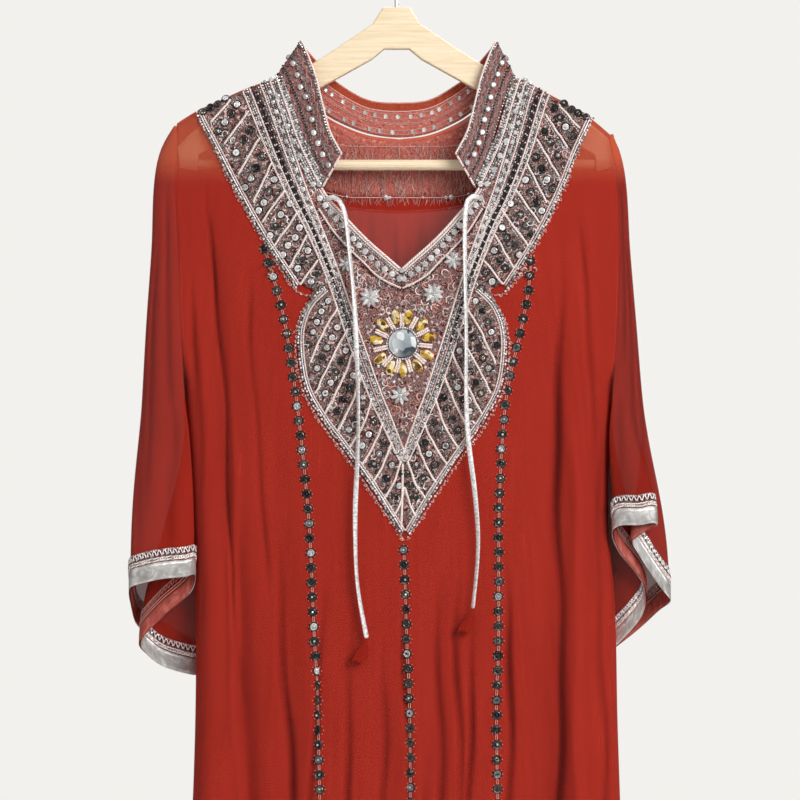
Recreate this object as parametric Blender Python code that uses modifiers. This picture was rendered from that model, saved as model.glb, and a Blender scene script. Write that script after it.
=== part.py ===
"""A sheer kaftan with a beaded yoke, hanging on a flat wooden hanger.

Frame: metres, +Z up, front of the garment towards -Y, wearer's right at -X.
The origin is the top of the hook's inside, where a rail carries the hanger.
Tables and driving sizes are in millimetres and are turned to metres by MM.
"""
import math
from collections import namedtuple

import bmesh
import bpy
from mathutils import Vector

MM = 0.001

# Driving sizes, mm
HEM_Z = -1420.0
CLOTH = 1.2
SEAM_GAP = 0.3
SEAM_BACK = 0.7
ARMHOLE_SEAM = 0.9
COLLAR_SEAM = 1.5
RIDGE_RADIUS = 9.0
RIDGE_STEPS = 4                 # times that the ridge over the right shoulder is looked up again
RIDGE_CLOSE = 16.0              # distance from the neck in which the shoulder seam closes
ARMHOLE_Z = -432.0
ARMHOLE_BLEND = 34.0
SIDE_NOSE = 22.0
NECK_HALF = 117.0
NECK_CENTRE = 2.0
TRIM = 1.2
TRIM_LIFT = 0.8
RIBBON = 0.8
RIBBON_HEIGHT = 19.0
CORD = 3.6
WALL_TOP = CLOTH / 2 + TRIM_LIFT
YOKE_LIFT = WALL_TOP + TRIM / 2
OVER_YOKE = YOKE_LIFT + TRIM / 2 + SEAM_GAP

# Colours, linear
RUST = (0.33, 0.026, 0.015)
BEADED = (0.30, 0.16, 0.14)
SILVER = (0.62, 0.60, 0.57)
PINE = (0.72, 0.50, 0.28)
STEEL = (0.55, 0.56, 0.58)
GLASS = (0.35, 0.45, 0.50)
AMBER = (0.75, 0.48, 0.03)

# Where the body's side edges lie, seen from the front
Edge = namedtuple("Edge", "z left right")
BODY_EDGES = (
    Edge(-124, -211, 203),
    Edge(-176, -211, 204),
    Edge(-216, -212, 210.5),
    Edge(-312, -208, 213),
    Edge(-432, -203, 207),
    Edge(-552, -197, 203),
    Edge(-624, -193, 209),
    Edge(-749, -193, 212),
    Edge(-1000, -205, 222),
    Edge(-1420, -238, 252),
)
# The sleeves' outer fold, from the shoulder point down
SLEEVE_EDGES = (
    Edge(-169, -213, 207.5),
    Edge(-180, -220, 208.5),
    Edge(-192, -226, 213.5),
    Edge(-212, -231, 218.5),
    Edge(-288, -235, 224),
    Edge(-360, -240, 230),
    Edge(-432, -244, 236),
    Edge(-552, -251, 251),
    Edge(-624, -252, 259),
    Edge(-700, -252, 259),
)
# The shoulder ridge over the hanger, as a distance from the neck centre
Ridge = namedtuple("Ridge", "reach left right")
SHOULDER = (
    Ridge(0, -60, -60),
    Ridge(NECK_HALF, -124, -124),
    Ridge(136, -130.5, -134.6),
    Ridge(145, -134, -139.4),
    Ridge(165, -143, -150.2),
    Ridge(180, -150, -159.4),
    Ridge(189, -154, -166),
    Ridge(204, -163, -179),
    Ridge(216, -171, -190),
    Ridge(260, -190, -222),
)
# On the right the shoulder of the yoke sits further in and lower
RIGHT_IN = 9.0
RIGHT_DOWN = 5.0
RIGHT_FADE = 160.0
# How far front and back stand from the middle plane
Depth = namedtuple("Depth", "z half")
BODY_DEPTH = (
    Depth(-60, 8.5),
    Depth(-124, 10),
    Depth(-207, 15),
    Depth(-330, 23),
    Depth(-450, 30),
    Depth(-749, 42),
    Depth(-1100, 55),
    Depth(-1420, 66),
)
# The front neck edge from shoulder to the point of the V
Neck = namedtuple("Neck", "reach z")
FRONT_NECK = (
    Neck(117, -124),
    Neck(115, -128),
    Neck(112, -136),
    Neck(104, -157),
    Neck(95, -182),
    Neck(87, -206),
    Neck(74, -231),
    Neck(58, -251),
    Neck(40, -271),
    Neck(20, -291),
    Neck(0, -310),
)
BACK_NECK = (
    Neck(117, -124),
    Neck(114, -127),
    Neck(108, -131),
    Neck(93, -142),
    Neck(76, -155),
    Neck(58, -166),
    Neck(30, -177),
    Neck(0, -181),
)
# Folds: x at the start, at the waist and at the hem, width, and depth at both ends (plus is a trough)
WAIST_Z = -749.0
FOLD_FADE = 90.0
Fold = namedtuple("Fold", "z x_start x_waist x_hem width start end")
FRONT_FOLDS = (
    Fold(-240, -179, -144, -120, 11, 5, 15),
    Fold(-400, -118, -96, -86, 11, 1, 9),
    Fold(-330, 154, 148, 160, 12, 3, 17),
    Fold(-586, 119, 131, 140, 9, 1, 5),
    Fold(-560, 38, 37, 44, 12, 1, 11),
    Fold(-620, -10, -5, -22, 11, 1, 10),
    Fold(-760, -52, -52, -56, 14, 0, -9),
    Fold(-760, 92, 92, 98, 14, 0, -9),
    Fold(-640, -178, -172, -182, 13, 0, -8),
    Fold(-640, 180, 184, 206, 13, 0, -9),
    Fold(-800, -200, -200, -212, 10, 0, 7),
)
BACK_FOLDS = (
    Fold(-262, -25, -28, -40, 12, 1, 8),
    Fold(-262, 4, 6, 10, 11, 1, 10),
    Fold(-262, 30, 40, 58, 12, 1, 8),
    Fold(-260, -160, -150, -158, 13, 3, 15),
    Fold(-300, 150, 146, 152, 13, 3, 15),
    Fold(-520, -96, -98, -108, 12, 1, 9),
    Fold(-520, 98, 100, 112, 12, 1, 9),
    Fold(-760, -70, -70, -74, 14, 0, -8),
    Fold(-760, 78, 78, 84, 14, 0, -8),
    Fold(-640, 176, 184, 202, 12, 0, -8),
    Fold(-640, -178, -180, -192, 12, 0, -8),
)

# The yoke's lower outline by side: inner end and outer end of each line of its loft
Span = namedtuple("Span", "inner_reach inner_z outer_reach outer_z")
YOKE_UPPER = (
    Span(119, -131, 188, -160),
    Span(113, -144, 179, -178),
    Span(106, -157, 170, -193),
    Span(97, -182, 161, -212),
    Span(89, -206, 151, -231),
    Span(76, -233, 137, -256),
    Span(60, -253, 124, -279),
    Span(42, -273, 108, -302),
    Span(22, -293, 95, -322),
)
YOKE_LOWER = (
    Span(0, -312, 84, -328),
    Span(0, -330, 92, -346),
    Span(0, -350, 96, -366),
    Span(0, -375, 96, -388),
    Span(0, -400, 90, -413),
    Span(0, -425, 79, -440),
    Span(0, -455, 62, -469),
    Span(0, -490, 38, -506),
    Span(0, -522, 15, -539),
    Span(0, -548, 2, -558),
)
CENTRE_LEAN = 0.0145
BACK_YOKE = (
    Span(117, -131, 184, -158),
    Span(106, -137, 160, -188),
    Span(92, -146, 136, -214),
    Span(76, -158, 104, -232),
    Span(58, -169, 74, -242),
    Span(30, -180, 36, -248),
    Span(0, -184, 0, -250),
)
# Centre line of the roped band that runs from the collar to the point
Line = namedtuple("Line", "reach z half_width")
ROPE_BAND = (
    Line(131, -146, 13),
    Line(122, -172, 12),
    Line(112, -200, 11),
    Line(98, -236, 9),
    Line(83, -269, 7),
    Line(65, -315, 6),
    Line(44, -379, 6),
    Line(27, -427, 5.5),
    Line(18, -448, 5),
    Line(5, -482, 4),
)
NECK_TRIM = (
    Line(63.5, -256, 4.6),
    Line(45, -276, 5),
    Line(25, -296, 5),
    Line(6, -315, 4.5),
)
# Collar: seam on the neck edge and free edge, centre back to front end
Collar = namedtuple("Collar", "seam_reach seam_z side free_reach free_z free_out")
COLLAR = (
    Collar(0, -181, 1, 0, -145, 18),
    Collar(30, -177, 1, 30, -142, 18),
    Collar(58, -166, 1, 57, -127, 17),
    Collar(76, -155, 1, 71, -115, 15),
    Collar(93, -142, 1, 81, -103, 13),
    Collar(108, -131, 1, 88, -95, 10.5),
    Collar(114, -127, 1, 91, -91, 9.5),
    Collar(117, -124, 0, 93, -88, 0),
    Collar(115, -128, -1, 91, -91, 9.5),
    Collar(112, -136, -1, 88, -98, 11),
    Collar(104, -157, -1, 79, -122, 14),
    Collar(95, -182, -1, 72, -150, 16.5),
    Collar(87, -206, -1, 65, -176, 18.5),
    Collar(73, -231, -1, 54, -197, 20),
)
# Cuff hems, once round: share of the way round, place from the front and from above, and height of the hem
Hem = namedtuple("Hem", "share x y z")
LEFT_HEM = (
    Hem(0.00, -194, -31, -600),
    Hem(0.06, -202, -37, -600),
    Hem(0.18, -222, -40, -602),
    Hem(0.30, -243, -37, -607),
    Hem(0.36, -252, -30, -612),
    Hem(0.42, -254, 4, -630),
    Hem(0.47, -250, 28, -652),
    Hem(0.58, -222, 37, -680),
    Hem(0.68, -199, 32, -694),
    Hem(0.71, -196, 26, -697),
    Hem(0.75, -202, 18, -698),
    Hem(0.80, -226, 13, -689),
    Hem(0.85, -243, 8, -675),
    Hem(0.87, -247, 2, -668),
    Hem(0.89, -243, -5, -660),
    Hem(0.94, -224, -12, -640),
    Hem(0.98, -201, -19, -616),
)
RIGHT_HEM = (
    Hem(0.00, 210, -31, -560),
    Hem(0.04, 215, -37, -552),
    Hem(0.11, 230, -40, -551),
    Hem(0.17, 242, -39, -549),
    Hem(0.20, 246, -35, -551),
    Hem(0.23, 240, -31, -555),
    Hem(0.27, 228, -28, -563),
    Hem(0.29, 223, -24, -568),
    Hem(0.32, 229, -20, -578),
    Hem(0.37, 242, -18, -598),
    Hem(0.43, 257, -16, -619),
    Hem(0.47, 261, -4, -626),
    Hem(0.53, 252, 12, -636),
    Hem(0.62, 234, 24, -655),
    Hem(0.71, 217, 20, -674),
    Hem(0.75, 216, 13, -674),
    Hem(0.79, 223, 7, -664),
    Hem(0.85, 236, 1, -640),
    Hem(0.88, 240, -4, -624),
    Hem(0.91, 235, -10, -606),
    Hem(0.96, 219, -20, -578),
)
OUTER_SHARE = 0.40
BACK_SHARE = 0.70
SLEEVE_GAP = 1.6

# Drawstrings, hanging free in front
Stop = namedtuple("Stop", "x out z")
LEFT_STRING = (
    Stop(-67, 4.9, -241),
    Stop(-64, 5.2, -240),
    Stop(-59, 8, -240),
    Stop(-53, 11, -245),
    Stop(-48, 12, -260),
    Stop(-45, 12, -288),
    Stop(-40, 12, -338),
    Stop(-38, 12, -383),
    Stop(-36, 11, -442),
    Stop(-37, 10, -489),
    Stop(-39, 9, -545),
    Stop(-37, 8, -605),
    Stop(-28, 8, -657),
)
RIGHT_STRING = (
    Stop(79, 4.9, -240),
    Stop(76, 5.2, -239),
    Stop(72, 8, -239),
    Stop(67, 11, -245),
    Stop(65, 12, -264),
    Stop(65, 12, -310),
    Stop(66, 12, -368),
    Stop(66, 12, -430),
    Stop(68, 11, -470),
    Stop(74, 10, -520),
    Stop(77, 9, -560),
    Stop(76, 8, -590),
    Stop(72, 8, -629),
)
STRING_POINTS = 56
TAB_LENGTH = 22.0
TAB_LEAN = 9.0
TAB_DROP = 0.4

# Centre flower
STONE_RADIUS = 13.6
STONE_Z = -379.0
STONE_SIDES = 16
PETAL_TURNS = (13.5, 44.5, 79, 104, 137, 173, 214.5, 244.5, 270.5, 303.5, 335.5)
PETAL_RING = 25.6
PETAL_LENGTH = 14.8
PETAL_WIDTH = 8.6
PETAL_HEIGHT = 4.0

# Hanger
ARM_HALF = 5.5
ARM_LOW_SPAN = 210.0
ARM_LOW_Z = -206.0
ARM_CLEAR = 4.0
WOOD_TOP_Z = -56.0
WOOD_TOP_HALF = 13.0
BAR_RADIUS = 5.2
BAR_Z = -207.0
BAR_HALF = 190.0
HOOK_RADIUS = 17.75
HOOK_WIRE = 1.75
HOOK_STEM_Z = -55.4

# Columns across half a panel, by their reach at the shoulder
HALF_TOP = 210.0
FRONT_COLUMNS = (0, 8, 15, 24, 34, 44, 53, 63, 73, 80, 87, 95, 104, 112, 115, 117, 126, 135, 145, 155, 166, 177, 188,
                 195, 203, 210)
BACK_COLUMNS = (0, 15, 30, 44, 58, 76, 93, 108, 114, 117, 131, 145, 160, 175, 188, 195, 203, 210)

# Mesh counts
FRONT_ROWS = 20
BACK_ROWS = 17
RING_POINTS = 40
UPPER_ROWS = 6
LOWER_ROWS = 7
TRIM_COLUMNS = 6
TOP_SHARES = (0.0, 0.0012, 0.0034, 0.0085)


def clear_scene():
    """Empty the file, so that the script gives the same result each run."""
    for item in list(bpy.data.objects):
        bpy.data.objects.remove(item, do_unlink=True)


def smooth(value):
    """Ease a share from 0 to 1."""
    value = min(1.0, max(0.0, value))
    return value * value * (3.0 - 2.0 * value)


def read(table, key, column, at):
    """Value of a table's column where its key column has the value at, on straight lines."""
    rows = sorted(table, key=lambda row: getattr(row, key))
    low = rows[0]
    if at <= getattr(low, key):
        return getattr(low, column)
    for high in rows[1:]:
        start = getattr(low, key)
        end = getattr(high, key)
        if at <= end:
            share = (at - start) / (end - start)
            return getattr(low, column) * (1 - share) + getattr(high, column) * share
        low = high
    return getattr(low, column)


def centre_x(z):
    """The middle of the neck and of the embroidery, which leans a little."""
    return NECK_CENTRE + CENTRE_LEAN * (-124.0 - z)


def ridge_z(x):
    """Height of the shoulder ridge over the hanger."""
    return read(SHOULDER, "reach", "right" if x > NECK_CENTRE else "left", abs(x - NECK_CENTRE))


def fold_offset(folds, x, z):
    """Sum of the folds' depths at a place."""
    total = 0.0
    for fold in folds:
        if z > fold.z:
            continue
        if z > WAIST_Z:
            share = (fold.z - z) / (fold.z - WAIST_Z) if fold.z > WAIST_Z else 1.0
            middle = fold.x_start + (fold.x_waist - fold.x_start) * share
        else:
            share = (WAIST_Z - z) / (WAIST_Z - HEM_Z)
            middle = fold.x_waist + (fold.x_hem - fold.x_waist) * share
        run = (fold.z - z) / (fold.z - HEM_Z)
        depth = fold.start + (fold.end - fold.start) * min(1.0, 1.6 * run)
        depth *= smooth((fold.z - z) / FOLD_FADE)
        total += depth * math.exp(-(((x - middle) / fold.width) ** 2))
    return total


def half_depth(x, z, folds):
    """Distance of a panel from the middle plane."""
    below = ridge_z(x) - z
    if below <= 0:
        return 0.0
    arch = RIDGE_RADIUS
    if below < RIDGE_RADIUS:
        arch = math.sqrt(RIDGE_RADIUS ** 2 - (RIDGE_RADIUS - below) ** 2)
    edge = read(BODY_EDGES, "z", "right" if x > 0 else "left", z)
    lens = 1.0 - 0.22 * min(1.0, abs(x / edge)) ** 2
    full = read(BODY_DEPTH, "z", "half", z) * lens
    grown = arch + max(0.0, min(full - RIDGE_RADIUS, 0.16 * (below - RIDGE_RADIUS)))
    return grown - fold_offset(folds, x, z)


def edge_depth(x, z):
    """Half depth where sleeve and body meet, with no folds."""
    return half_depth(x, z, ())


def panel_point(x, z, side):
    """A point of the front (side -1) or back (side 1) panel, in mm."""
    folds = FRONT_FOLDS if side < 0 else BACK_FOLDS
    return Vector((x, side * half_depth(x, z, folds), z))


def panel_normal(x, z, side):
    """The outward normal of a panel."""
    step = 0.6
    wide = (panel_point(x + step, z, side) - panel_point(x - step, z, side)) / (2 * step)
    tall = (panel_point(x, z, side) - panel_point(x, z - step, side)) / step
    normal = wide.cross(tall).normalized()
    return normal if normal.y * side > 0 else -normal


def lifted(x, z, side, lift):
    """A point that lies on a panel, moved out."""
    return panel_point(x, z, side) + panel_normal(x, z, side) * lift


def grid_faces(mesh, rows, closed=False, skip=None):
    """Faces between rows of points; skip(row, column) leaves a face out."""
    made = [[mesh.verts.new(point * MM) for point in row] for row in rows]
    for upper, (first, second) in enumerate(zip(made, made[1:])):
        count = len(first)
        for column in range(count if closed else count - 1):
            following = (column + 1) % count
            if skip and skip(upper, column):
                continue
            mesh.faces.new((first[column], first[following], second[following], second[column]))
    return made


def finish_mesh(name, mesh, material, wall=None, merge=False):
    """Turn a bmesh into a named object, with a wall where it is an open surface."""
    if merge:
        bmesh.ops.remove_doubles(mesh, verts=mesh.verts[:], dist=0.02 * MM)
    loose = [vert for vert in mesh.verts if not vert.link_faces]
    bmesh.ops.delete(mesh, geom=loose, context="VERTS")
    bmesh.ops.recalc_face_normals(mesh, faces=mesh.faces[:])
    data = bpy.data.meshes.new(name)
    mesh.to_mesh(data)
    mesh.free()
    item = bpy.data.objects.new(name, data)
    PARTS.objects.link(item)
    data.materials.append(material)
    if wall:
        solid = item.modifiers.new("wall", "SOLIDIFY")
        solid.thickness = wall * MM
        solid.offset = 0.0
    return item


def make_material(name, colour, roughness, metallic=0.0):
    """A Principled material."""
    material = bpy.data.materials.new(name)
    material.use_nodes = True
    shader = material.node_tree.nodes["Principled BSDF"]
    shader.inputs["Base Color"].default_value = (*colour, 1.0)
    shader.inputs["Roughness"].default_value = roughness
    shader.inputs["Metallic"].default_value = metallic
    return material


def neck_z(table, reach):
    """Height of the neck edge at a distance from the centre."""
    return read(table, "reach", "z", reach)


def panel_rows(side, reaches, row_count, neck_table):
    """Points of a body panel, from its top edge to the hem."""
    rows = []
    shares = list(TOP_SHARES)
    below = row_count - len(shares) + 1
    shares += [shares[-1] + (1.0 - shares[-1]) * (index / below) ** 1.12 for index in range(1, below + 1)]
    across = [-reach / HALF_TOP for reach in reversed(reaches[1:])] + [reach / HALF_TOP for reach in reaches]
    for down in shares:
        rows.append([panel_grid_point(share, down, side, neck_table) for share in across])
    return rows


def across_x(across, z):
    """Place across a panel, for a share of its half width."""
    edge = read(BODY_EDGES, "z", "left" if across < 0 else "right", z)
    reach = abs(across)
    spread = (edge - math.copysign(HALF_TOP, edge) - NECK_CENTRE) * reach
    drift = (centre_x(max(z, WAIST_Z)) - NECK_CENTRE) * (1.0 - reach)
    return NECK_CENTRE + across * HALF_TOP + spread + drift - math.copysign(SEAM_GAP / 2, edge) * reach


def panel_top(across, neck_table):
    """Height of a panel's top edge: the neck line, or the ridge where the front and the back meet."""
    neck_reach = abs(across) * HALF_TOP
    if neck_reach < NECK_HALF:
        return neck_z(neck_table, neck_reach)
    top = ridge_z(NECK_CENTRE + across * HALF_TOP)
    closed = top
    for _ in range(RIDGE_STEPS):
        closed = ridge_z(across_x(across, closed))
    return top + max(0.0, closed - top) * smooth((neck_reach - NECK_HALF) / RIDGE_CLOSE)


def panel_grid_point(across, down, side, neck_table):
    """A point of a body panel at a share of its width and of its length."""
    reach = abs(across)
    top = panel_top(across, neck_table)
    z = top + (HEM_Z - top) * down
    x = across_x(across, z)
    nose = smooth((ARMHOLE_Z - z + ARMHOLE_BLEND) / ARMHOLE_BLEND)
    flat_reach = 1.0 - SIDE_NOSE / HALF_TOP
    point = panel_point(x, z, side)
    if reach > flat_reach and nose > 0.0:
        outward = math.copysign(1.0, across)
        turn = (reach - flat_reach) / (1.0 - flat_reach)
        angle = turn * math.pi / 2
        x += outward * SIDE_NOSE * (math.sin(angle) - turn) * nose
        edge = read(BODY_EDGES, "z", "left" if across < 0 else "right", z)
        flat_depth = panel_point(edge - outward * SIDE_NOSE, z, side).y
        straight = panel_point(x, z, side).y
        point = Vector((x, straight + (flat_depth * math.cos(angle) ** 0.8 - straight) * nose, z))
    if abs(point.y) < SEAM_BACK:
        point.y = side * SEAM_BACK
    return point


def build_panel(name, side, reaches, rows, neck_table, material):
    """The front or back of the body."""
    mesh = bmesh.new()
    grid_faces(mesh, panel_rows(side, reaches, rows, neck_table))
    return finish_mesh(name, mesh, material, CLOTH)


def closed_curve(table, share):
    """Place on a hem table at a share of the way round, on a smooth closed curve."""
    count = len(table)
    index = max(i for i, row in enumerate(table) if row.share <= share)
    rows = [table[(index + step) % count] for step in (-1, 0, 1, 2)]
    shares = [row.share for row in rows]
    if index == 0:
        shares[0] -= 1.0
    if index + 1 >= count:
        shares[2] += 1.0
    if index + 2 >= count:
        shares[3] += 1.0
    points = [Vector((row.x, row.y, row.z)) for row in rows]
    span = shares[2] - shares[1]
    local = (share - shares[1]) / span
    leave = (points[2] - points[0]) / (shares[2] - shares[0]) * span
    arrive = (points[3] - points[1]) / (shares[3] - shares[1]) * span
    square = local * local
    cube = square * local
    return (
        points[1] * (2 * cube - 3 * square + 1)
        + leave * (cube - 2 * square + local)
        + points[2] * (3 * square - 2 * cube)
        + arrive * (cube - square)
    )


def upper_ring(hand, share, body_z, outer_z):
    """Place on the open ring of a sleeve that still hangs on the body."""
    body_edge = read(BODY_EDGES, "z", hand, body_z)
    body_edge += math.copysign(ARMHOLE_SEAM, body_edge)
    outer = read(SLEEVE_EDGES, "z", hand, outer_z)
    depth = edge_depth(body_edge, body_z)
    away = math.copysign(SLEEVE_GAP, body_edge)
    apart = smooth((ARMHOLE_Z - body_z) / 60.0 + 0.3)
    if share <= BACK_SHARE:
        front = share <= OUTER_SHARE
        if front:
            turn = share / OUTER_SHARE
        else:
            turn = (BACK_SHARE - share) / (BACK_SHARE - OUTER_SHARE)
        angle = turn * math.pi / 2
        x = body_edge + away * apart * (1 - turn) + (outer - body_edge) * math.sin(angle) ** 1.15
        y = depth * max(0.0, math.cos(angle)) ** 0.75 * (-1 if front else 1)
        z = body_z + (outer_z - body_z) * turn ** 0.8
        return Vector((x, y, z))
    turn = (share - BACK_SHARE) / (1.0 - BACK_SHARE)
    bulge = 3.0 * math.sin(turn * math.pi) * math.copysign(1, body_edge)
    return Vector((body_edge + away * apart + bulge, depth * (1 - 2 * turn), body_z))


def sleeve_rows(hand, hem_table, ring_points, upper_rows, lower_rows):
    """Rings of a sleeve, from the shoulder point to the hem of its cuff."""
    shares = ring_shares(hem_table, ring_points)
    start = ridge_z(read(BODY_EDGES, "z", hand, -176.0)) - RIDGE_RADIUS - 0.4
    tip = ridge_z(read(BODY_EDGES, "z", hand, -176.0)) - 0.2
    rows = []
    for level in range(upper_rows):
        run = level / upper_rows
        body_z = start + (ARMHOLE_Z - start) * run
        outer_z = tip + (ARMHOLE_Z - tip) * run ** 1.25
        rows.append([upper_ring(hand, share, body_z, outer_z) for share in shares])
    for level in range(lower_rows + 1):
        run = level / lower_rows
        blend = smooth(run)
        row = []
        for share in shares:
            hem = closed_curve(hem_table, share)
            z = ARMHOLE_Z + (hem.z - ARMHOLE_Z) * run
            plain = upper_ring(hand, share, z, z)
            row.append(Vector((
                plain.x + (hem.x - plain.x) * blend,
                plain.y + (hem.y - plain.y) * blend,
                z,
            )))
        rows.append(row)
    return rows, shares


def ring_shares(hem_table, count):
    """Shares round the sleeve, closer together where the hem turns."""
    samples = 400
    shares = [index / samples for index in range(samples + 1)]
    points = [closed_curve(hem_table, share % 1.0) for share in shares]
    steps = [0.0]
    for before, here, share in zip(points, points[1:], shares):
        steps.append(steps[-1] + (here - before).length + 0.12)
    result = []
    for index in range(count):
        goal = steps[-1] * index / count
        place = max(i for i, step in enumerate(steps) if step <= goal)
        rest = (goal - steps[place]) / (steps[place + 1] - steps[place])
        result.append(shares[place] + rest / samples)
    nearest = min(range(1, count), key=lambda i: abs(result[i] - BACK_SHARE))
    result[nearest] = BACK_SHARE
    return result


def build_sleeve(hand, hem_table, cloth, ribbon):
    """A sleeve, open to the body above the underarm, and the ribbon on its hem."""
    rows, shares = sleeve_rows(hand, hem_table, RING_POINTS, UPPER_ROWS, LOWER_ROWS)

    def in_armhole(row, column):
        return row < UPPER_ROWS and shares[column] >= BACK_SHARE - 1e-9

    mesh = bmesh.new()
    made = grid_faces(mesh, rows, closed=True, skip=in_armhole)
    bmesh.ops.recalc_face_normals(mesh, faces=mesh.faces[:])
    mesh.normal_update()
    hem_row = [(vert.co.copy(), vert.normal.copy()) for vert in made[-1]]
    above = [(vert.co.copy(), vert.normal.copy()) for vert in made[-2]]
    outer = max(range(len(shares)), key=lambda i: -abs(shares[i] - OUTER_SHARE))
    flip = 1.0 if hem_row[outer][1].x * hem_row[outer][0].x > 0 else -1.0
    lift = (CLOTH / 2 + TRIM_LIFT + RIBBON / 2) * MM * flip
    low = []
    high = []
    for (hem_point, hem_normal), (up_point, up_normal) in zip(hem_row, above):
        share = RIBBON_HEIGHT * MM / (up_point - hem_point).length
        low.append((hem_point + hem_normal * lift) / MM)
        upper = hem_point.lerp(up_point, share)
        normal = hem_normal.lerp(up_normal, share).normalized()
        high.append((upper + normal * lift) / MM)
    finish_mesh("sleeve_" + hand, mesh, cloth, CLOTH)
    band = bmesh.new()
    grid_faces(band, [high, low], closed=True)
    finish_mesh("cuff_ribbon_" + hand, band, ribbon, RIBBON)


def side_place(reach, z, mirror):
    """A place on the yoke and its height, left of the centre line for mirror -1."""
    if mirror > 0:
        near = smooth(1.0 - (ridge_z(NECK_CENTRE - reach) - z) / RIGHT_FADE) * smooth((reach - 100.0) / 80.0)
        reach -= RIGHT_IN * near
        z -= RIGHT_DOWN * near
    return centre_x(z) + mirror * reach, z


def span_point(span, share, mirror, side, lift):
    """A point on a line of a yoke's loft."""
    reach = span.inner_reach + (span.outer_reach - span.inner_reach) * share
    z = span.inner_z + (span.outer_z - span.inner_z) * share
    return lifted(*side_place(reach, z, mirror), side, lift)


def build_yoke(name, groups, side, material):
    """A beaded plate that lies on a panel."""
    mesh = bmesh.new()
    for mirror in (-1, 1):
        spans = [span for group in groups for span in group]
        rows = [
            [span_point(span, step / TRIM_COLUMNS, mirror, side, YOKE_LIFT) for step in range(TRIM_COLUMNS + 1)]
            for span in spans
        ]
        grid_faces(mesh, rows)
    return finish_mesh(name, mesh, material, TRIM, merge=True)


def line_normal(lines, index):
    """Direction across a band at one of its lines, in the plane of the front."""
    before = lines[max(0, index - 1)]
    after = lines[min(len(lines) - 1, index + 1)]
    along = Vector((after.reach - before.reach, after.z - before.z))
    along.normalize()
    return Vector((along.y, -along.x))


def band_rows(lines, mirror, lift):
    """Left and right edges of a flat band that follows a line on the front."""
    rows = []
    for index, line in enumerate(lines):
        across = line_normal(lines, index)
        row = []
        for share in (-1.0, 0.0, 1.0):
            reach = line.reach + across.x * line.half_width * share
            z = line.z + across.y * line.half_width * share
            row.append(lifted(*side_place(reach, z, mirror), -1, lift))
        rows.append(row)
    return rows


def build_bands(material):
    """The roped bands and the stone edging of the neck."""
    for word, mirror in (("left", -1), ("right", 1)):
        mesh = bmesh.new()
        grid_faces(mesh, band_rows(ROPE_BAND, mirror, OVER_YOKE + TRIM / 2))
        finish_mesh("rope_band_" + word, mesh, material, TRIM)
        mesh = bmesh.new()
        grid_faces(mesh, band_rows(NECK_TRIM, mirror, OVER_YOKE + TRIM / 2))
        finish_mesh("neck_edging_" + word, mesh, material, TRIM)


def collar_point(row, share, mirror):
    """A point between the neck seam and the collar's free edge."""
    seam_x = across_x(mirror * row.seam_reach / HALF_TOP, row.seam_z)
    seam = Vector((seam_x, row.side * half_depth(seam_x, row.seam_z, ()), row.seam_z))
    free = Vector((NECK_CENTRE + mirror * row.free_reach, row.side * row.free_out, row.free_z))
    start = COLLAR_SEAM / (free - seam).length
    return seam.lerp(free, start + (1 - start) * share)


def build_collar(material):
    """The stand collar, one strip from front end to front end."""
    steps = 3
    mesh = bmesh.new()
    left = [[collar_point(row, step / steps, -1) for step in range(steps + 1)] for row in reversed(COLLAR)]
    right = [[collar_point(row, step / steps, 1) for step in range(steps + 1)] for row in COLLAR[1:]]
    grid_faces(mesh, left + right)
    return finish_mesh("collar", mesh, material, CLOTH)


def curve_object(name, points, radius, material, resolution=2):
    """A round wire or cord through points, in mm."""
    data = bpy.data.curves.new(name, "CURVE")
    data.dimensions = "3D"
    data.bevel_depth = radius * MM
    data.bevel_resolution = resolution
    data.use_fill_caps = True
    spline = data.splines.new("POLY")
    spline.points.add(len(points) - 1)
    for target, point in zip(spline.points, points):
        target.co = (*(point * MM), 1.0)
    data.materials.append(material)
    item = bpy.data.objects.new(name, data)
    PARTS.objects.link(item)
    return item


def smooth_route(points, count):
    """Evenly spaced points on a smooth curve through hand-set points."""
    fine = []
    last = len(points) - 1
    for index in range(last):
        four = [points[max(0, min(last, index + step))] for step in (-1, 0, 1, 2)]
        for step in range(12):
            t = step / 12
            fine.append(0.5 * (
                2 * four[1]
                + (four[2] - four[0]) * t
                + (2 * four[0] - 5 * four[1] + 4 * four[2] - four[3]) * t * t
                + (3 * four[1] - four[0] - 3 * four[2] + four[3]) * t ** 3
            ))
    fine.append(points[-1])
    lengths = [0.0]
    for before, here in zip(fine, fine[1:]):
        lengths.append(lengths[-1] + (here - before).length)
    route = []
    for index in range(count):
        goal = lengths[-1] * index / (count - 1)
        place = min(len(fine) - 2, max(i for i, length in enumerate(lengths) if length <= goal + 1e-9))
        share = (goal - lengths[place]) / (lengths[place + 1] - lengths[place])
        route.append(fine[place].lerp(fine[place + 1], share))
    return route


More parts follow.
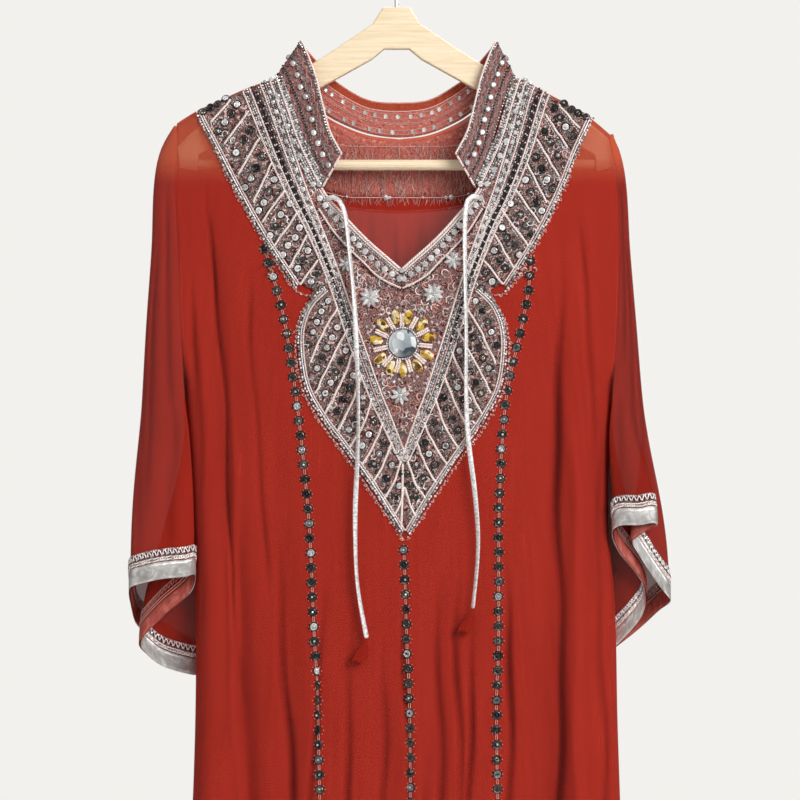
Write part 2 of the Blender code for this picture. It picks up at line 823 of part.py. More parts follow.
def build_string(word, stops, lean, silver, cloth):
    """One drawstring end and the little cloth tab tied to it."""
    points = []
    for stop in stops:
        depth = half_depth(stop.x, stop.z, FRONT_FOLDS)
        points.append(Vector((stop.x, -depth - stop.out, stop.z)))
    route = smooth_route(points, STRING_POINTS)
    curve_object("drawstring_" + word, route, CORD / 2, silver)
    end = route[-1]
    down = (route[-1] - route[-2]).normalized()
    profile = ((0.0, 1.4), (0.25, 2.6), (0.7, 3.8), (1.0, 2.2))
    mesh = bmesh.new()
    rows = []
    for share, radius in profile:
        middle = end + down * SEAM_GAP + Vector((lean * share, 0, -TAB_DROP - TAB_LENGTH * share))
        rows.append([
            middle + Vector((radius * math.cos(a * math.pi / 4), 0.6 * radius * math.sin(a * math.pi / 4), 0))
            for a in range(8)
        ])
    made = grid_faces(mesh, rows, closed=True)
    mesh.faces.new(made[0])
    mesh.faces.new(reversed(made[-1]))
    finish_mesh("drawstring_tab_" + word, mesh, cloth)


def on_yoke(x, z, height):
    """A point that stands off the yoke's face."""
    return (lifted(x, z, -1, OVER_YOKE) + Vector((0, -height, 0))) * MM


def build_flower(glass, amber):
    """The centre stone and its ring of petal stones."""
    x = centre_x(STONE_Z)
    rings = ((1.0, 0.0), (0.98, 2.2), (0.72, 5.0))
    mesh = bmesh.new()
    rows = []
    for radius, height in rings:
        row = []
        for step in range(STONE_SIDES):
            angle = step * math.tau / STONE_SIDES
            reach = radius * STONE_RADIUS
            row.append(on_yoke(x + reach * math.cos(angle), STONE_Z + reach * math.sin(angle), height) / MM)
        rows.append(row)
    made = grid_faces(mesh, rows, closed=True)
    mesh.faces.new(made[0])
    mesh.faces.new(made[-1])
    finish_mesh("centre_stone", mesh, glass)
    for index, degrees in enumerate(PETAL_TURNS):
        angle = math.radians(degrees)
        along = Vector((math.cos(angle), 0, math.sin(angle)))
        across = Vector((-math.sin(angle), 0, math.cos(angle)))
        middle = Vector((x, 0, STONE_Z)) + along * PETAL_RING
        rows = []
        for size, height in ((1.0, 0.0), (1.0, 1.2), (0.55, PETAL_HEIGHT)):
            row = []
            for step in range(8):
                turn = step * math.tau / 8
                place = middle + along * (math.cos(turn) * PETAL_LENGTH / 2 * size)
                place += across * (math.sin(turn) * PETAL_WIDTH / 2 * size)
                row.append(on_yoke(place.x, place.z, height) / MM)
            rows.append(row)
        mesh = bmesh.new()
        made = grid_faces(mesh, rows, closed=True)
        mesh.faces.new(made[0])
        mesh.faces.new(made[-1])
        finish_mesh("petal_stone_%02d" % (index + 1), mesh, amber)


def arm_outline():
    """The hanger's wooden outline, right half from top to bottom, in mm."""
    top = [(WOOD_TOP_HALF, WOOD_TOP_Z), (WOOD_TOP_HALF + 10, WOOD_TOP_Z - 16), (60, -97), (100, -122), (113, -131)]
    top += [(value, ridge_z(NECK_CENTRE + value) - ARM_CLEAR) for value in (145, 165, 189, 200)]
    end = [(ARM_LOW_SPAN, -190), (ARM_LOW_SPAN - 2, -210), (ARM_LOW_SPAN - 19, -214)]
    low = [(ARM_LOW_SPAN - 20, ARM_LOW_Z + 8), (24, -106), (12, -96)]
    return top + end + low


def build_hanger(wood, metal):
    """Flat wooden arms, round trouser bar and wire hook."""
    half = arm_outline()
    outline = [(x, z) for x, z in half] + [(-x, z) for x, z in reversed(half)]
    data = bpy.data.curves.new("hanger_arms", "CURVE")
    data.dimensions = "2D"
    data.fill_mode = "BOTH"
    data.extrude = (ARM_HALF - 1.4) * MM
    data.bevel_depth = 1.4 * MM
    data.bevel_resolution = 1
    data.offset = -1.4 * MM
    spline = data.splines.new("POLY")
    spline.points.add(len(outline) - 1)
    for target, (x, z) in zip(spline.points, outline):
        target.co = (x * MM, z * MM, 0, 1)
    spline.use_cyclic_u = True
    item = bpy.data.objects.new("hanger_arms_curve", data)
    PARTS.objects.link(item)
    bpy.context.view_layer.update()
    solid = bpy.data.meshes.new_from_object(item.evaluated_get(bpy.context.evaluated_depsgraph_get()))
    bpy.data.objects.remove(item, do_unlink=True)
    mesh = bmesh.new()
    mesh.from_mesh(solid)
    bpy.data.meshes.remove(solid)
    for vert in mesh.verts:
        vert.co = Vector((vert.co.x, -vert.co.z, vert.co.y))
    finish_mesh("hanger_arms", mesh, wood, merge=True)
    bpy.ops.mesh.primitive_cylinder_add(
        vertices=12, radius=BAR_RADIUS * MM, depth=2 * BAR_HALF * MM,
        location=(0, 0, BAR_Z * MM), rotation=(0, math.pi / 2, 0),
    )
    bar = bpy.context.object
    bar.name = "hanger_bar"
    bar.data.materials.append(wood)
    for owner in list(bar.users_collection):
        owner.objects.unlink(bar)
    PARTS.objects.link(bar)
    centre_z = -HOOK_RADIUS + HOOK_WIRE
    points = [Vector((0, 0, HOOK_STEM_Z)), Vector((0, 0, -48)), Vector((0, 0, -43)), Vector((2.5, 0, -37.5))]
    for step in range(21):
        angle = math.radians(-62 + step * 13.2)
        points.append(Vector((HOOK_RADIUS * math.cos(angle), 0, centre_z + HOOK_RADIUS * math.sin(angle))))
    curve_object("hanger_hook", points, HOOK_WIRE, metal)


def build():
    """Build every piece of the garment and its hanger."""
    rust = make_material("rust_chiffon", RUST, 0.7)
    beaded = make_material("beaded_work", BEADED, 0.45)
    silver = make_material("silver_ribbon", SILVER, 0.3, 0.8)
    wood = make_material("pale_pine", PINE, 0.55)
    metal = make_material("steel_wire", STEEL, 0.25, 1.0)
    glass = make_material("smoke_glass", GLASS, 0.08)
    amber = make_material("amber_glass", AMBER, 0.1)
    build_panel("front_panel", -1, FRONT_COLUMNS, FRONT_ROWS, FRONT_NECK, rust)
    build_panel("back_panel", 1, BACK_COLUMNS, BACK_ROWS, BACK_NECK, rust)
    build_sleeve("left", LEFT_HEM, rust, silver)
    build_sleeve("right", RIGHT_HEM, rust, silver)
    build_collar(beaded)
    build_yoke("yoke_front", (YOKE_UPPER, YOKE_LOWER), -1, beaded)
    build_yoke("yoke_back", (BACK_YOKE,), 1, beaded)
    build_bands(silver)
    build_string("left", LEFT_STRING, -TAB_LEAN, silver, rust)
    build_string("right", RIGHT_STRING, -TAB_LEAN, silver, rust)
    build_flower(glass, amber)
    build_hanger(wood, metal)


clear_scene()
PARTS = bpy.data.collections.new("kaftan_on_hanger")
bpy.context.scene.collection.children.link(PARTS)
build()
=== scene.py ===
"""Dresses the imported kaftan: sheer cloth, bead and sequin work, metallic trim and its hanger.

Sizes in the tables are in millimetres, in the part's own frame: +X to the viewer's right,
+Z up, the front of the garment towards -Y, and the origin at the top of the hook's inside.
"""
import bisect
import logging
import math
import random
from dataclasses import dataclass, field
from enum import Enum
from typing import Callable, NamedTuple, Sequence

import bpy
import numpy as np
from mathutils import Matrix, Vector


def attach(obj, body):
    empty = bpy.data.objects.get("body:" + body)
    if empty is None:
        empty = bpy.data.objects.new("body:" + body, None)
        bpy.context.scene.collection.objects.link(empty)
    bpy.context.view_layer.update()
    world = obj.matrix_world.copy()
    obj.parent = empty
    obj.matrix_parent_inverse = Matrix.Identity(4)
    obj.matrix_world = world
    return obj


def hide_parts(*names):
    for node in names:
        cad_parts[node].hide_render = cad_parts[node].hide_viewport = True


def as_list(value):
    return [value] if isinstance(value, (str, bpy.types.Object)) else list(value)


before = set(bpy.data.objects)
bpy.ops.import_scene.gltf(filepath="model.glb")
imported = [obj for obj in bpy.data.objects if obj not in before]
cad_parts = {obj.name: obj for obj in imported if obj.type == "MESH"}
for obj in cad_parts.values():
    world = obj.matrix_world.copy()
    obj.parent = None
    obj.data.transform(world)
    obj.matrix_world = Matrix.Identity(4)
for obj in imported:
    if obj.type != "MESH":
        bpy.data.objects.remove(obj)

LOG = logging.getLogger("kaftan")
MM = 0.001
CLOTH_WALL = 0.35
OVER_GROUND = 2.2
TINY = 1e-9
TURNOVER = math.pi / 2

Colour = tuple[float, float, float]
Pair = tuple[float, float]
Triple = tuple[float, float, float]
Line = Sequence[Pair]
Course = tuple[list[Vector], list[Vector]]
Pieces = list[bpy.types.Object]
Socket = bpy.types.NodeSocket
Feed = Socket | float | Sequence[float]
FIRST_COLOUR, SECOND_COLOUR, BLENDED_COLOUR = 6, 7, 2
TONE_WEIGHT = 0.6
BEAD_SHAPE = (1.15, 0.95, 0.9)
SEQUIN_TILT = (-0.22, 0.22)
RING_SHARE, DISC_SHARE, MIDDLE_SHARE = 0.92, 0.80, 0.30
PALE, DARK = 0.1, 0.9
NEAR_HEM = -1350.0
INWARD = Vector((0.0, -1.0, 0.0))


class Face(Enum):
    """Which side of the garment a place is on."""

    FRONT = -1
    BACK = 1


class Hand(Enum):
    """Which side a sleeve or a mirrored motif is on, as the viewer sees it."""

    LEFT = -1
    RIGHT = 1

    @property
    def word(self) -> str:
        """The word used in node names."""
        return self.name.lower()


class Edge(NamedTuple):
    """Left and right edge at a height."""

    z: float
    left: float
    right: float


class Ridge(NamedTuple):
    """Height of a line at a distance from the middle."""

    reach: float
    z: float


class Shoulder(NamedTuple):
    """Height of the shoulder line on both sides, by its distance from the neck's middle."""

    reach: float
    left: float
    right: float


class Depth(NamedTuple):
    """Half depth of the body at a height."""

    z: float
    half: float


class Fold(NamedTuple):
    """A fold: where it starts, its places, width, and depth at start and hem (plus is a trough)."""

    z: float
    x_start: float
    x_waist: float
    x_hem: float
    width: float
    start: float
    end: float


class Crease(NamedTuple):
    """A fine crease between two heights: place at both ends, width and depth."""

    z_top: float
    z_end: float
    x_top: float
    x_end: float
    width: float
    depth: float


class Ripple(NamedTuple):
    """A crease down a sleeve: share of the way round at both ends, heights, width and depth."""

    share_top: float
    share_end: float
    z_top: float
    z_end: float
    width: float
    depth: float


class Hem(NamedTuple):
    """A place on a cuff's hem."""

    share: float
    x: float
    y: float
    z: float


class Span(NamedTuple):
    """Inner and outer end of a line across the yoke."""

    inner_reach: float
    inner_z: float
    outer_reach: float
    outer_z: float


class BandRow(NamedTuple):
    """Middle of the roped band at a height, and half its width."""

    reach: float
    z: float
    half: float


class CollarLine(NamedTuple):
    """Seam and free edge of the collar."""

    seam_reach: float
    seam_z: float
    side: int
    free_reach: float
    free_z: float
    free_out: float


class Stop(NamedTuple):
    """A place on a drawstring, by its distance in front of the panel."""

    x: float
    out: float
    z: float


class Table:
    """A short table that is read on a smooth line between its rows."""

    def __init__(self, rows: Sequence[NamedTuple], key: str) -> None:
        """Sort the rows.

        Args:
            rows: The table's rows.
            key: Name of the column that the table is read by.
        """
        self.rows = sorted(rows, key=lambda row: getattr(row, key))
        self.keys = [getattr(row, key) for row in self.rows]

    def at(self, column: str, place: float) -> float:
        """Read a column at a place.

        Args:
            column: Name of the column.
            place: Value of the key column.

        Returns:
            The column's value, held at the first and last row.
        """
        index = bisect.bisect_left(self.keys, place)
        if index == 0:
            return getattr(self.rows[0], column)
        if index == len(self.rows):
            return getattr(self.rows[-1], column)
        start, end = self.keys[index - 1], self.keys[index]
        first = getattr(self.rows[index - 1], column)
        second = getattr(self.rows[index], column)
        share = (place - start) / (end - start)
        slope = second - first
        leave = arrive = slope
        if index > 1:
            before = (first - getattr(self.rows[index - 2], column)) / (start - self.keys[index - 2])
            leave = 0.5 * (slope + before * (end - start))
        if index < len(self.rows) - 1:
            after = (getattr(self.rows[index + 1], column) - second) / (self.keys[index + 1] - end)
            arrive = 0.5 * (slope + after * (end - start))
        return bent(first, leave, second, arrive, share)


def bent(first: float | Vector, leave: float | Vector, second: float | Vector, arrive: float | Vector,
         share: float) -> float | Vector:
    """A value on a smooth curve between two others.

    Args:
        first: Value at the start.
        leave: Slope at the start.
        second: Value at the end.
        arrive: Slope at the end.
        share: Share of the way.

    Returns:
        The value.
    """
    square = share * share
    cube = square * share
    return (
        first * (2 * cube - 3 * square + 1)
        + leave * (cube - 2 * square + share)
        + second * (3 * square - 2 * cube)
        + arrive * (cube - square)
    )


def smooth(value: float) -> float:
    """Ease a share from 0 to 1."""
    value = min(1.0, max(0.0, value))
    return value * value * (3.0 - 2.0 * value)


BODY_EDGES = Table((
    Edge(-124, -211, 203), Edge(-176, -211, 204), Edge(-216, -212, 210.5), Edge(-312, -208, 213),
    Edge(-432, -203, 207), Edge(-552, -197, 203), Edge(-624, -193, 209), Edge(-749, -193, 212),
    Edge(-1000, -205, 222), Edge(-1420, -238, 252),
), "z")
SLEEVE_EDGES = Table((
    Edge(-169, -213, 207.5), Edge(-180, -220, 208.5), Edge(-192, -226, 213.5), Edge(-212, -231, 218.5),
    Edge(-288, -235, 224), Edge(-360, -240, 230), Edge(-432, -244, 236), Edge(-552, -251, 251),
    Edge(-624, -252, 259), Edge(-700, -252, 259),
), "z")
SHOULDER = Table((
    Shoulder(0, -60, -60), Shoulder(117, -124, -124), Shoulder(136, -130.5, -134.6),
    Shoulder(145, -134, -139.4), Shoulder(165, -143, -150.2), Shoulder(180, -150, -159.4),
    Shoulder(189, -154, -166), Shoulder(204, -163, -179), Shoulder(216, -171, -190),
    Shoulder(260, -190, -222),
), "reach")
BODY_DEPTH = Table((
    Depth(-60, 8.5), Depth(-124, 10), Depth(-207, 15), Depth(-330, 23), Depth(-450, 30),
    Depth(-749, 42), Depth(-1100, 55), Depth(-1420, 66),
), "z")
FRONT_NECK = Table((
    Ridge(117, -124), Ridge(115, -128), Ridge(112, -136), Ridge(104, -157), Ridge(95, -182),
    Ridge(87, -206), Ridge(74, -231), Ridge(58, -251), Ridge(40, -271), Ridge(20, -291), Ridge(0, -310),
), "reach")
BACK_NECK = Table((
    Ridge(117, -124), Ridge(114, -127), Ridge(108, -131), Ridge(93, -142), Ridge(76, -155),
    Ridge(58, -166), Ridge(30, -177), Ridge(0, -181),
), "reach")
FRONT_FOLDS = (
    Fold(-240, -179, -144, -120, 11, 2.5, 9.3),
    Fold(-400, -118, -96, -86, 11, 0.5, 5.6),
    Fold(-330, 154, 148, 160, 12, 1.5, 10.5),
    Fold(-586, 119, 131, 140, 9, 0.5, 3.1),
    Fold(-560, 38, 37, 44, 12, 0.5, 6.8),
    Fold(-620, -10, -5, -22, 11, 0.5, 6.2),
    Fold(-760, -52, -52, -56, 14, 0, -5.6),
    Fold(-760, 92, 92, 98, 14, 0, -5.6),
    Fold(-640, -178, -172, -182, 13, 0, -5),
    Fold(-640, 180, 184, 206, 13, 0, -5.6),
    Fold(-800, -200, -200, -212, 10, 0, 4.3),
)
BACK_FOLDS = (
    Fold(-262, -25, -28, -40, 12, 0.5, 5),
    Fold(-262, 4, 6, 10, 11, 0.5, 6.2),
    Fold(-262, 30, 40, 58, 12, 0.5, 5),
    Fold(-260, -160, -150, -158, 13, 1.5, 9.3),
    Fold(-300, 150, 146, 152, 13, 1.5, 9.3),
    Fold(-520, -96, -98, -108, 12, 0.5, 5.6),
    Fold(-520, 98, 100, 112, 12, 0.5, 5.6),
    Fold(-760, -70, -70, -74, 14, 0, -5),
    Fold(-760, 78, 78, 84, 14, 0, -5),
    Fold(-640, 176, 184, 202, 12, 0, -5),
    Fold(-640, -178, -180, -192, 12, 0, -5),
)
FRONT_CREASES = (
    Crease(-215, -760, -181, -143, 1.7, 4.6),
    Crease(-150, -470, -213, -203, 1.5, 3.6),
    Crease(-330, -1400, -161, -136, 4.9, -4.6),
    Crease(-300, -700, -196, -178, 2.8, 3.5),
    Crease(-520, -1390, -112, -76, 3.2, 4.7),
    Crease(-300, -640, -140, -124, 2.5, 2.4),
    Crease(-240, -1400, 154, 156, 3.4, 5.5),
    Crease(-380, -1410, 165, 182, 5.8, -3.2),
    Crease(-250, -520, 176, 188, 2.4, 3.2),
    Crease(-400, -1100, 192, 200, 2.9, 3.9),
    Crease(-560, -1380, 103, 116, 3, 5.7),
    Crease(-600, -1300, 68, 74, 2.9, 3.9),
    Crease(-585, -1400, 40, 40, 3, 4.3),
    Crease(-575, -1200, 58, 60, 2.9, 3.5),
    Crease(-640, -1380, -14, -16, 3.2, 4.3),
    Crease(-560, -1250, 8, 16, 2.9, 2.6),
    Crease(-600, -1400, -40, -62, 3.2, 3.9),
    Crease(-560, -1300, -70, -96, 2.9, 2.8),
    Crease(-760, -1410, 24, 18, 3.9, 4.7),
    Crease(-800, -1410, -130, -158, 5.6, -4.2),
    Crease(-820, -1410, 120, 128, 6, -3.8),
    Crease(-900, -1410, 214, 232, 3.5, 5.7),
    Crease(-860, -1410, -24, -38, 6.7, -3.5),
)
BACK_CREASES = (
    Crease(-232, -900, -1.5, -3, 2.2, 5.5),
    Crease(-232, -600, -42, -40, 4.0, 3.2),
    Crease(-232, -560, -24, -22, 4.2, -2.4),
    Crease(-232, -620, 28, 32, 3.6, 3.0),
    Crease(-232, -760, -186, -170, 2.8, 6.2),
    Crease(-262, -900, -50, -62, 2.7, 3.5),
    Crease(-262, -1400, -10, -14, 3, 4.3),
    Crease(-262, -980, 18, 26, 4.5, -2.6),
    Crease(-262, -1400, 48, 72, 3.2, 3.9),
    Crease(-300, -1300, -120, -128, 2.9, 3.9),
    Crease(-340, -1400, 122, 136, 3, 6.2),
    Crease(-420, -1400, 186, 206, 4.9, -3.2),
    Crease(-480, -1380, -84, -92, 2.9, 3.2),
    Crease(-700, -1410, 88, 96, 3.6, 5.1),
    Crease(-760, -1410, -30, -54, 3.7, 5.1),
    Crease(-820, -1410, -206, -222, 3.2, 4.7),
    Crease(-800, -1410, 26, 34, 6.3, -3.5),
)
FOLDS = {Face.FRONT: FRONT_FOLDS, Face.BACK: BACK_FOLDS}
CREASES = {Face.FRONT: FRONT_CREASES, Face.BACK: BACK_CREASES}
COLLAR = (
    CollarLine(0, -181, 1, 0, -145, 18),
    CollarLine(30, -177, 1, 30, -142, 18),
    CollarLine(58, -166, 1, 57, -127, 17),
    CollarLine(76, -155, 1, 71, -115, 15),
    CollarLine(93, -142, 1, 81, -103, 13),
    CollarLine(108, -131, 1, 88, -95, 10.5),
    CollarLine(114, -127, 1, 91, -91, 9.5),
    CollarLine(117, -124, 0, 93, -88, 0),
    CollarLine(115, -128, -1, 91, -91, 9.5),
    CollarLine(112, -136, -1, 88, -98, 11),
    CollarLine(104, -157, -1, 79, -122, 14),
    CollarLine(95, -182, -1, 72, -150, 16.5),
    CollarLine(87, -206, -1, 65, -176, 18.5),
    CollarLine(73, -231, -1, 54, -197, 20),
)
YOKE_FRONT = (
    Span(118, -126.4, 190, -155.8),
    Span(116.6, -129, 189, -158), Span(110.6, -144, 179, -178), Span(104.6, -157, 170, -193),
    Span(95.6, -182, 161, -212), Span(88, -206, 151, -231), Span(76, -233, 137, -256),
    Span(60, -253, 124, -279), Span(42, -273, 108, -302), Span(22, -293, 95, -322), Span(0, -312, 84, -328),
    Span(0, -330, 92, -346), Span(0, -350, 96, -366), Span(0, -375, 96, -388), Span(0, -400, 90, -413),
    Span(0, -425, 79, -440), Span(0, -455, 62, -469), Span(0, -490, 38, -506), Span(0, -522, 15, -539),
    Span(0, -548, 2, -558),
)
YOKE_BACK = (
    Span(117, -129, 186, -156), Span(106, -137, 160, -188), Span(92, -146, 136, -214),
    Span(76, -158, 104, -232), Span(58, -169, 74, -242), Span(30, -180, 36, -248), Span(0, -184, 0, -250),
)
LEFT_HEM = (
    Hem(0.00, -192, -29, -600), Hem(0.06, -200, -37, -600), Hem(0.18, -222, -40, -602),
    Hem(0.30, -243, -37, -607), Hem(0.36, -252, -30, -612), Hem(0.42, -254, 4, -630),
    Hem(0.47, -250, 28, -652), Hem(0.58, -222, 37, -680), Hem(0.68, -196, 32, -694),
    Hem(0.71, -192, 26, -697), Hem(0.75, -198, 18, -698), Hem(0.80, -226, 13, -689),
    Hem(0.85, -243, 8, -675), Hem(0.87, -247, 2, -668), Hem(0.89, -243, -5, -660),
    Hem(0.94, -224, -12, -640), Hem(0.98, -197, -19, -616),
)
RIGHT_HEM = (
    Hem(0.00, 206, -29, -560), Hem(0.04, 211, -36, -552), Hem(0.11, 230, -40, -551),
    Hem(0.17, 242, -39, -549), Hem(0.20, 246, -35, -551), Hem(0.23, 240, -31, -555),
    Hem(0.27, 228, -28, -563), Hem(0.29, 223, -24, -568), Hem(0.32, 229, -20, -578),
    Hem(0.37, 242, -18, -598), Hem(0.43, 257, -16, -619), Hem(0.47, 261, -4, -626),
    Hem(0.53, 252, 12, -636), Hem(0.62, 234, 24, -655), Hem(0.71, 209, 20, -674),
    Hem(0.75, 207, 13, -674), Hem(0.79, 217, 7, -664), Hem(0.85, 236, 1, -640),
    Hem(0.88, 240, -4, -624), Hem(0.91, 235, -10, -606), Hem(0.96, 213, -20, -578),
)
LEFT_RIPPLES = (
    Ripple(0.14, 0.10, -210, -470, 0.030, 1.8),
    Ripple(0.24, 0.26, -260, -560, 0.028, 2.0),
    Ripple(0.07, 0.16, -430, -600, 0.030, 1.6),
    Ripple(0.33, 0.30, -380, -600, 0.026, 1.5),
    Ripple(0.50, 0.53, -230, -560, 0.030, 2.0),
    Ripple(0.60, 0.62, -320, -650, 0.028, 2.2),
    Ripple(0.66, 0.57, -420, -660, 0.030, 1.8),
)
RIGHT_RIPPLES = (
    Ripple(0.12, 0.10, -200, -420, 0.030, 2.0),
    Ripple(0.22, 0.18, -240, -540, 0.026, 2.2),
    Ripple(0.30, 0.33, -300, -590, 0.028, 1.8),
    Ripple(0.08, 0.05, -420, -550, 0.026, 1.4),
    Ripple(0.50, 0.52, -220, -520, 0.030, 2.0),
    Ripple(0.61, 0.64, -300, -630, 0.028, 2.2),
    Ripple(0.56, 0.58, -480, -640, 0.026, 1.6),
)


@dataclass
class HangingForm:
    """The shape that the cloth hangs in, from which every piece on it takes its place."""

    hem_z: float = -1420.0
    seam_gap: float = 0.3
    seam_back: float = 0.7
    armhole_seam: float = -1.2
    collar_seam: float = 1.5
    ridge_radius: float = 9.0
    ridge_steps: int = 4
    ridge_close: float = 16.0
    armhole_z: float = -432.0
    armhole_blend: float = 34.0
    side_nose: float = 22.0
    neck_half: float = 117.0
    neck_corner_z: float = -124.0
    neck_centre: float = 2.0
    centre_lean: float = 0.0145
    half_top: float = 210.0
    waist_z: float = -749.0
    fold_fade: float = 90.0
    outer_share: float = 0.40
    back_share: float = 0.70
    sleeve_gap: float = -2.6
    sleeve_ease: float = 60.0
    bell_end: float = 3.2
    # Drawn depth at which the chiffon's painted crease shade is full, and the weight of the large folds in
    # it.
    full_gather: float = 7.0
    fold_gather: float = 0.25
    lens: float = 0.22
    shoulder_slope: float = 0.16
    touch: float = 0.2
    probe: float = 0.6
    shift_depth: float = 160.0
    shift_start: float = 100.0
    shift_width: float = 80.0
    shift_in: float = 9.0
    shift_down: float = 5.0
    fold_growth: float = 1.6
    slow_wander: Pair = (2.6, 61.0)
    quick_wander: Pair = (1.3, 23.0)
    breath: Pair = (0.25, 47.0)
    nose_round: float = 0.8
    sleeve_start: float = 0.3
    sleeve_rounds: Triple = (1.15, 0.75, 0.8)
    inner_bulge: float = 3.0

    def centre_x(self, z: float) -> float:
        """The middle of the neck and of the embroidery at a height."""
        return self.neck_centre + self.centre_lean * (self.neck_corner_z - z)

    def ridge_z(self, x: float) -> float:
        """Height of the shoulder line over the hanger."""
        return SHOULDER.at("left" if x < self.neck_centre else "right", abs(x - self.neck_centre))

    def yoke_place(self, reach: float, z: float, mirror: int) -> Pair:
        """A place on the yoke, whose right shoulder sits further in and lower.

        Args:
            reach: Distance from the middle.
            z: Height on the left side.
            mirror: -1 on the left, 1 on the right.

        Returns:
            The place across and its height.
        """
        if mirror > 0:
            below = self.ridge_z(self.neck_centre - reach) - z
            near = smooth(1.0 - below / self.shift_depth)
            near *= smooth((reach - self.shift_start) / self.shift_width)
            reach -= self.shift_in * near
            z -= self.shift_down * near
        return self.centre_x(z) + mirror * reach, z

    def body_edge(self, across: float, z: float) -> float:
        """Side edge of the body, left for a negative place across."""
        return BODY_EDGES.at("left" if across < 0 else "right", z)

    def fold_offset(self, face: Face, x: float, z: float) -> float:
        """Depth of the large folds at a place.

        Args:
            face: Front or back.
            x: Place across.
            z: Height.

        Returns:
            How far the cloth is drawn in, in mm.
        """
        total = 0.0
        for fold in FOLDS[face]:
            if z > fold.z:
                continue
            if z > self.waist_z:
                share = (fold.z - z) / (fold.z - self.waist_z) if fold.z > self.waist_z else 1.0
                middle = fold.x_start + (fold.x_waist - fold.x_start) * share
            else:
                share = (self.waist_z - z) / (self.waist_z - self.hem_z)
                middle = fold.x_waist + (fold.x_hem - fold.x_waist) * share
            reach = abs(x - middle) / fold.width
            if reach > self.bell_end:
                continue
            run = (fold.z - z) / (fold.z - self.hem_z)
            depth = fold.start + (fold.end - fold.start) * min(1.0, self.fold_growth * run)
            total += depth * smooth((fold.z - z) / self.fold_fade) * math.exp(-reach * reach)
        return total

    def crease_offset(self, face: Face, x: float, z: float) -> float:
        """Depth of the fine creases at a place.

        Args:
            face: Front or back.
            x: Place across.
            z: Height.

        Returns:
            How far the cloth is drawn in, in mm.
        """
        total = 0.0
        slow, slow_length = self.slow_wander
        quick, quick_length = self.quick_wander
        for crease in CREASES[face]:
            if not crease.z_end < z < crease.z_top:
                continue
            share = (crease.z_top - z) / (crease.z_top - crease.z_end)
            wander = slow * math.sin(z / slow_length + crease.x_top * 0.37)
            wander += quick * math.sin(z / quick_length + crease.width)
            middle = crease.x_top + (crease.x_end - crease.x_top) * share + wander
            reach = abs(x - middle) / crease.width
            if reach > self.bell_end:
                continue
            ending = 4.0 if crease.z_end > NEAR_HEM else 30.0
            fade = smooth(share * 5.0) * smooth((1.0 - share) * ending)
            breath = 1.0 + self.breath[0] * math.sin(z / self.breath[1] + crease.x_end)
            total += crease.depth * fade * breath * math.exp(-reach * reach)
        return total

    def crease_shade_share(self, x: float, z: float, face: Face) -> float:
        """How far the cloth is gathered into a trough at a place, from 0 to 1, which darkens the chiffon as
        painted crease shade.
        """
        drawn = self.fold_offset(face, x, z) * self.fold_gather + self.crease_offset(face, x, z)
        return min(1.0, max(0.0, drawn / self.full_gather))

    def half_depth(self, x: float, z: float, face: Face, folded: bool = True) -> float:
        """Distance of a panel from the middle plane.

        Args:
            x: Place across.
            z: Height.
            face: Front or back.
            folded: Whether the folds count.

        Returns:
            The distance in mm.
        """
        below = self.ridge_z(x) - z
        if below <= 0:
            return 0.0
        arch = self.ridge_radius
        if below < self.ridge_radius:
            arch = math.sqrt(self.ridge_radius ** 2 - (self.ridge_radius - below) ** 2)
        flattened = 1.0 - self.lens * min(1.0, abs(x / self.body_edge(x, z))) ** 2
        full = BODY_DEPTH.at("half", z) * flattened
        sloped = self.shoulder_slope * (below - self.ridge_radius)
        grown = arch + max(0.0, min(full - self.ridge_radius, sloped))
        if not folded:
            return grown
        return grown - self.fold_offset(face, x, z) - self.crease_offset(face, x, z)

    def point(self, x: float, z: float, face: Face) -> Vector:
        """A point of a body panel, in mm."""
        return Vector((x, face.value * self.half_depth(x, z, face), z))

    def normal(self, x: float, z: float, face: Face) -> Vector:
        """The outward direction of a body panel.

        Args:
            x: Place across.
            z: Height.
            face: Front or back.

        Returns:
            The direction.
        """
        wide = self.point(x + self.probe, z, face) - self.point(x - self.probe, z, face)
        tall = self.point(x, z, face) - self.point(x, z - self.probe, face)
        normal = wide.cross(tall).normalized()
        return normal if normal.y * face.value > 0 else -normal

    def lifted(self, x: float, z: float, face: Face, lift: float) -> Vector:
        """A point that lies over a body panel."""
        return self.point(x, z, face) + self.normal(x, z, face) * lift

    def across_x(self, across: float, z: float) -> float:
        """Place across a panel.

        Args:
            across: Share of its half width, from -1 to 1.
            z: Height.

        Returns:
            The place in mm.
        """
        edge = self.body_edge(across, z)
        reach = abs(across)
        spread = (edge - math.copysign(self.half_top, edge) - self.neck_centre) * reach
        drift = (self.centre_x(max(z, self.waist_z)) - self.neck_centre) * (1.0 - reach)
        inset = math.copysign(self.seam_gap / 2, edge) * reach
        return self.neck_centre + across * self.half_top + spread + drift - inset

    def panel_top(self, across: float, face: Face) -> float:
        """Height of a panel's top edge: the neck line, or the ridge where front and back meet.

        Args:
            across: Share of the half width, from -1 to 1.
            face: Front or back.

        Returns:
            The height in mm.
        """
        neck_reach = abs(across) * self.half_top
        if neck_reach < self.neck_half:
            return (FRONT_NECK if face is Face.FRONT else BACK_NECK).at("z", neck_reach)
        top = self.ridge_z(self.neck_centre + across * self.half_top)
        closed = top
        for _ in range(self.ridge_steps):
            closed = self.ridge_z(self.across_x(across, closed))
        return top + max(0.0, closed - top) * smooth((neck_reach - self.neck_half) / self.ridge_close)

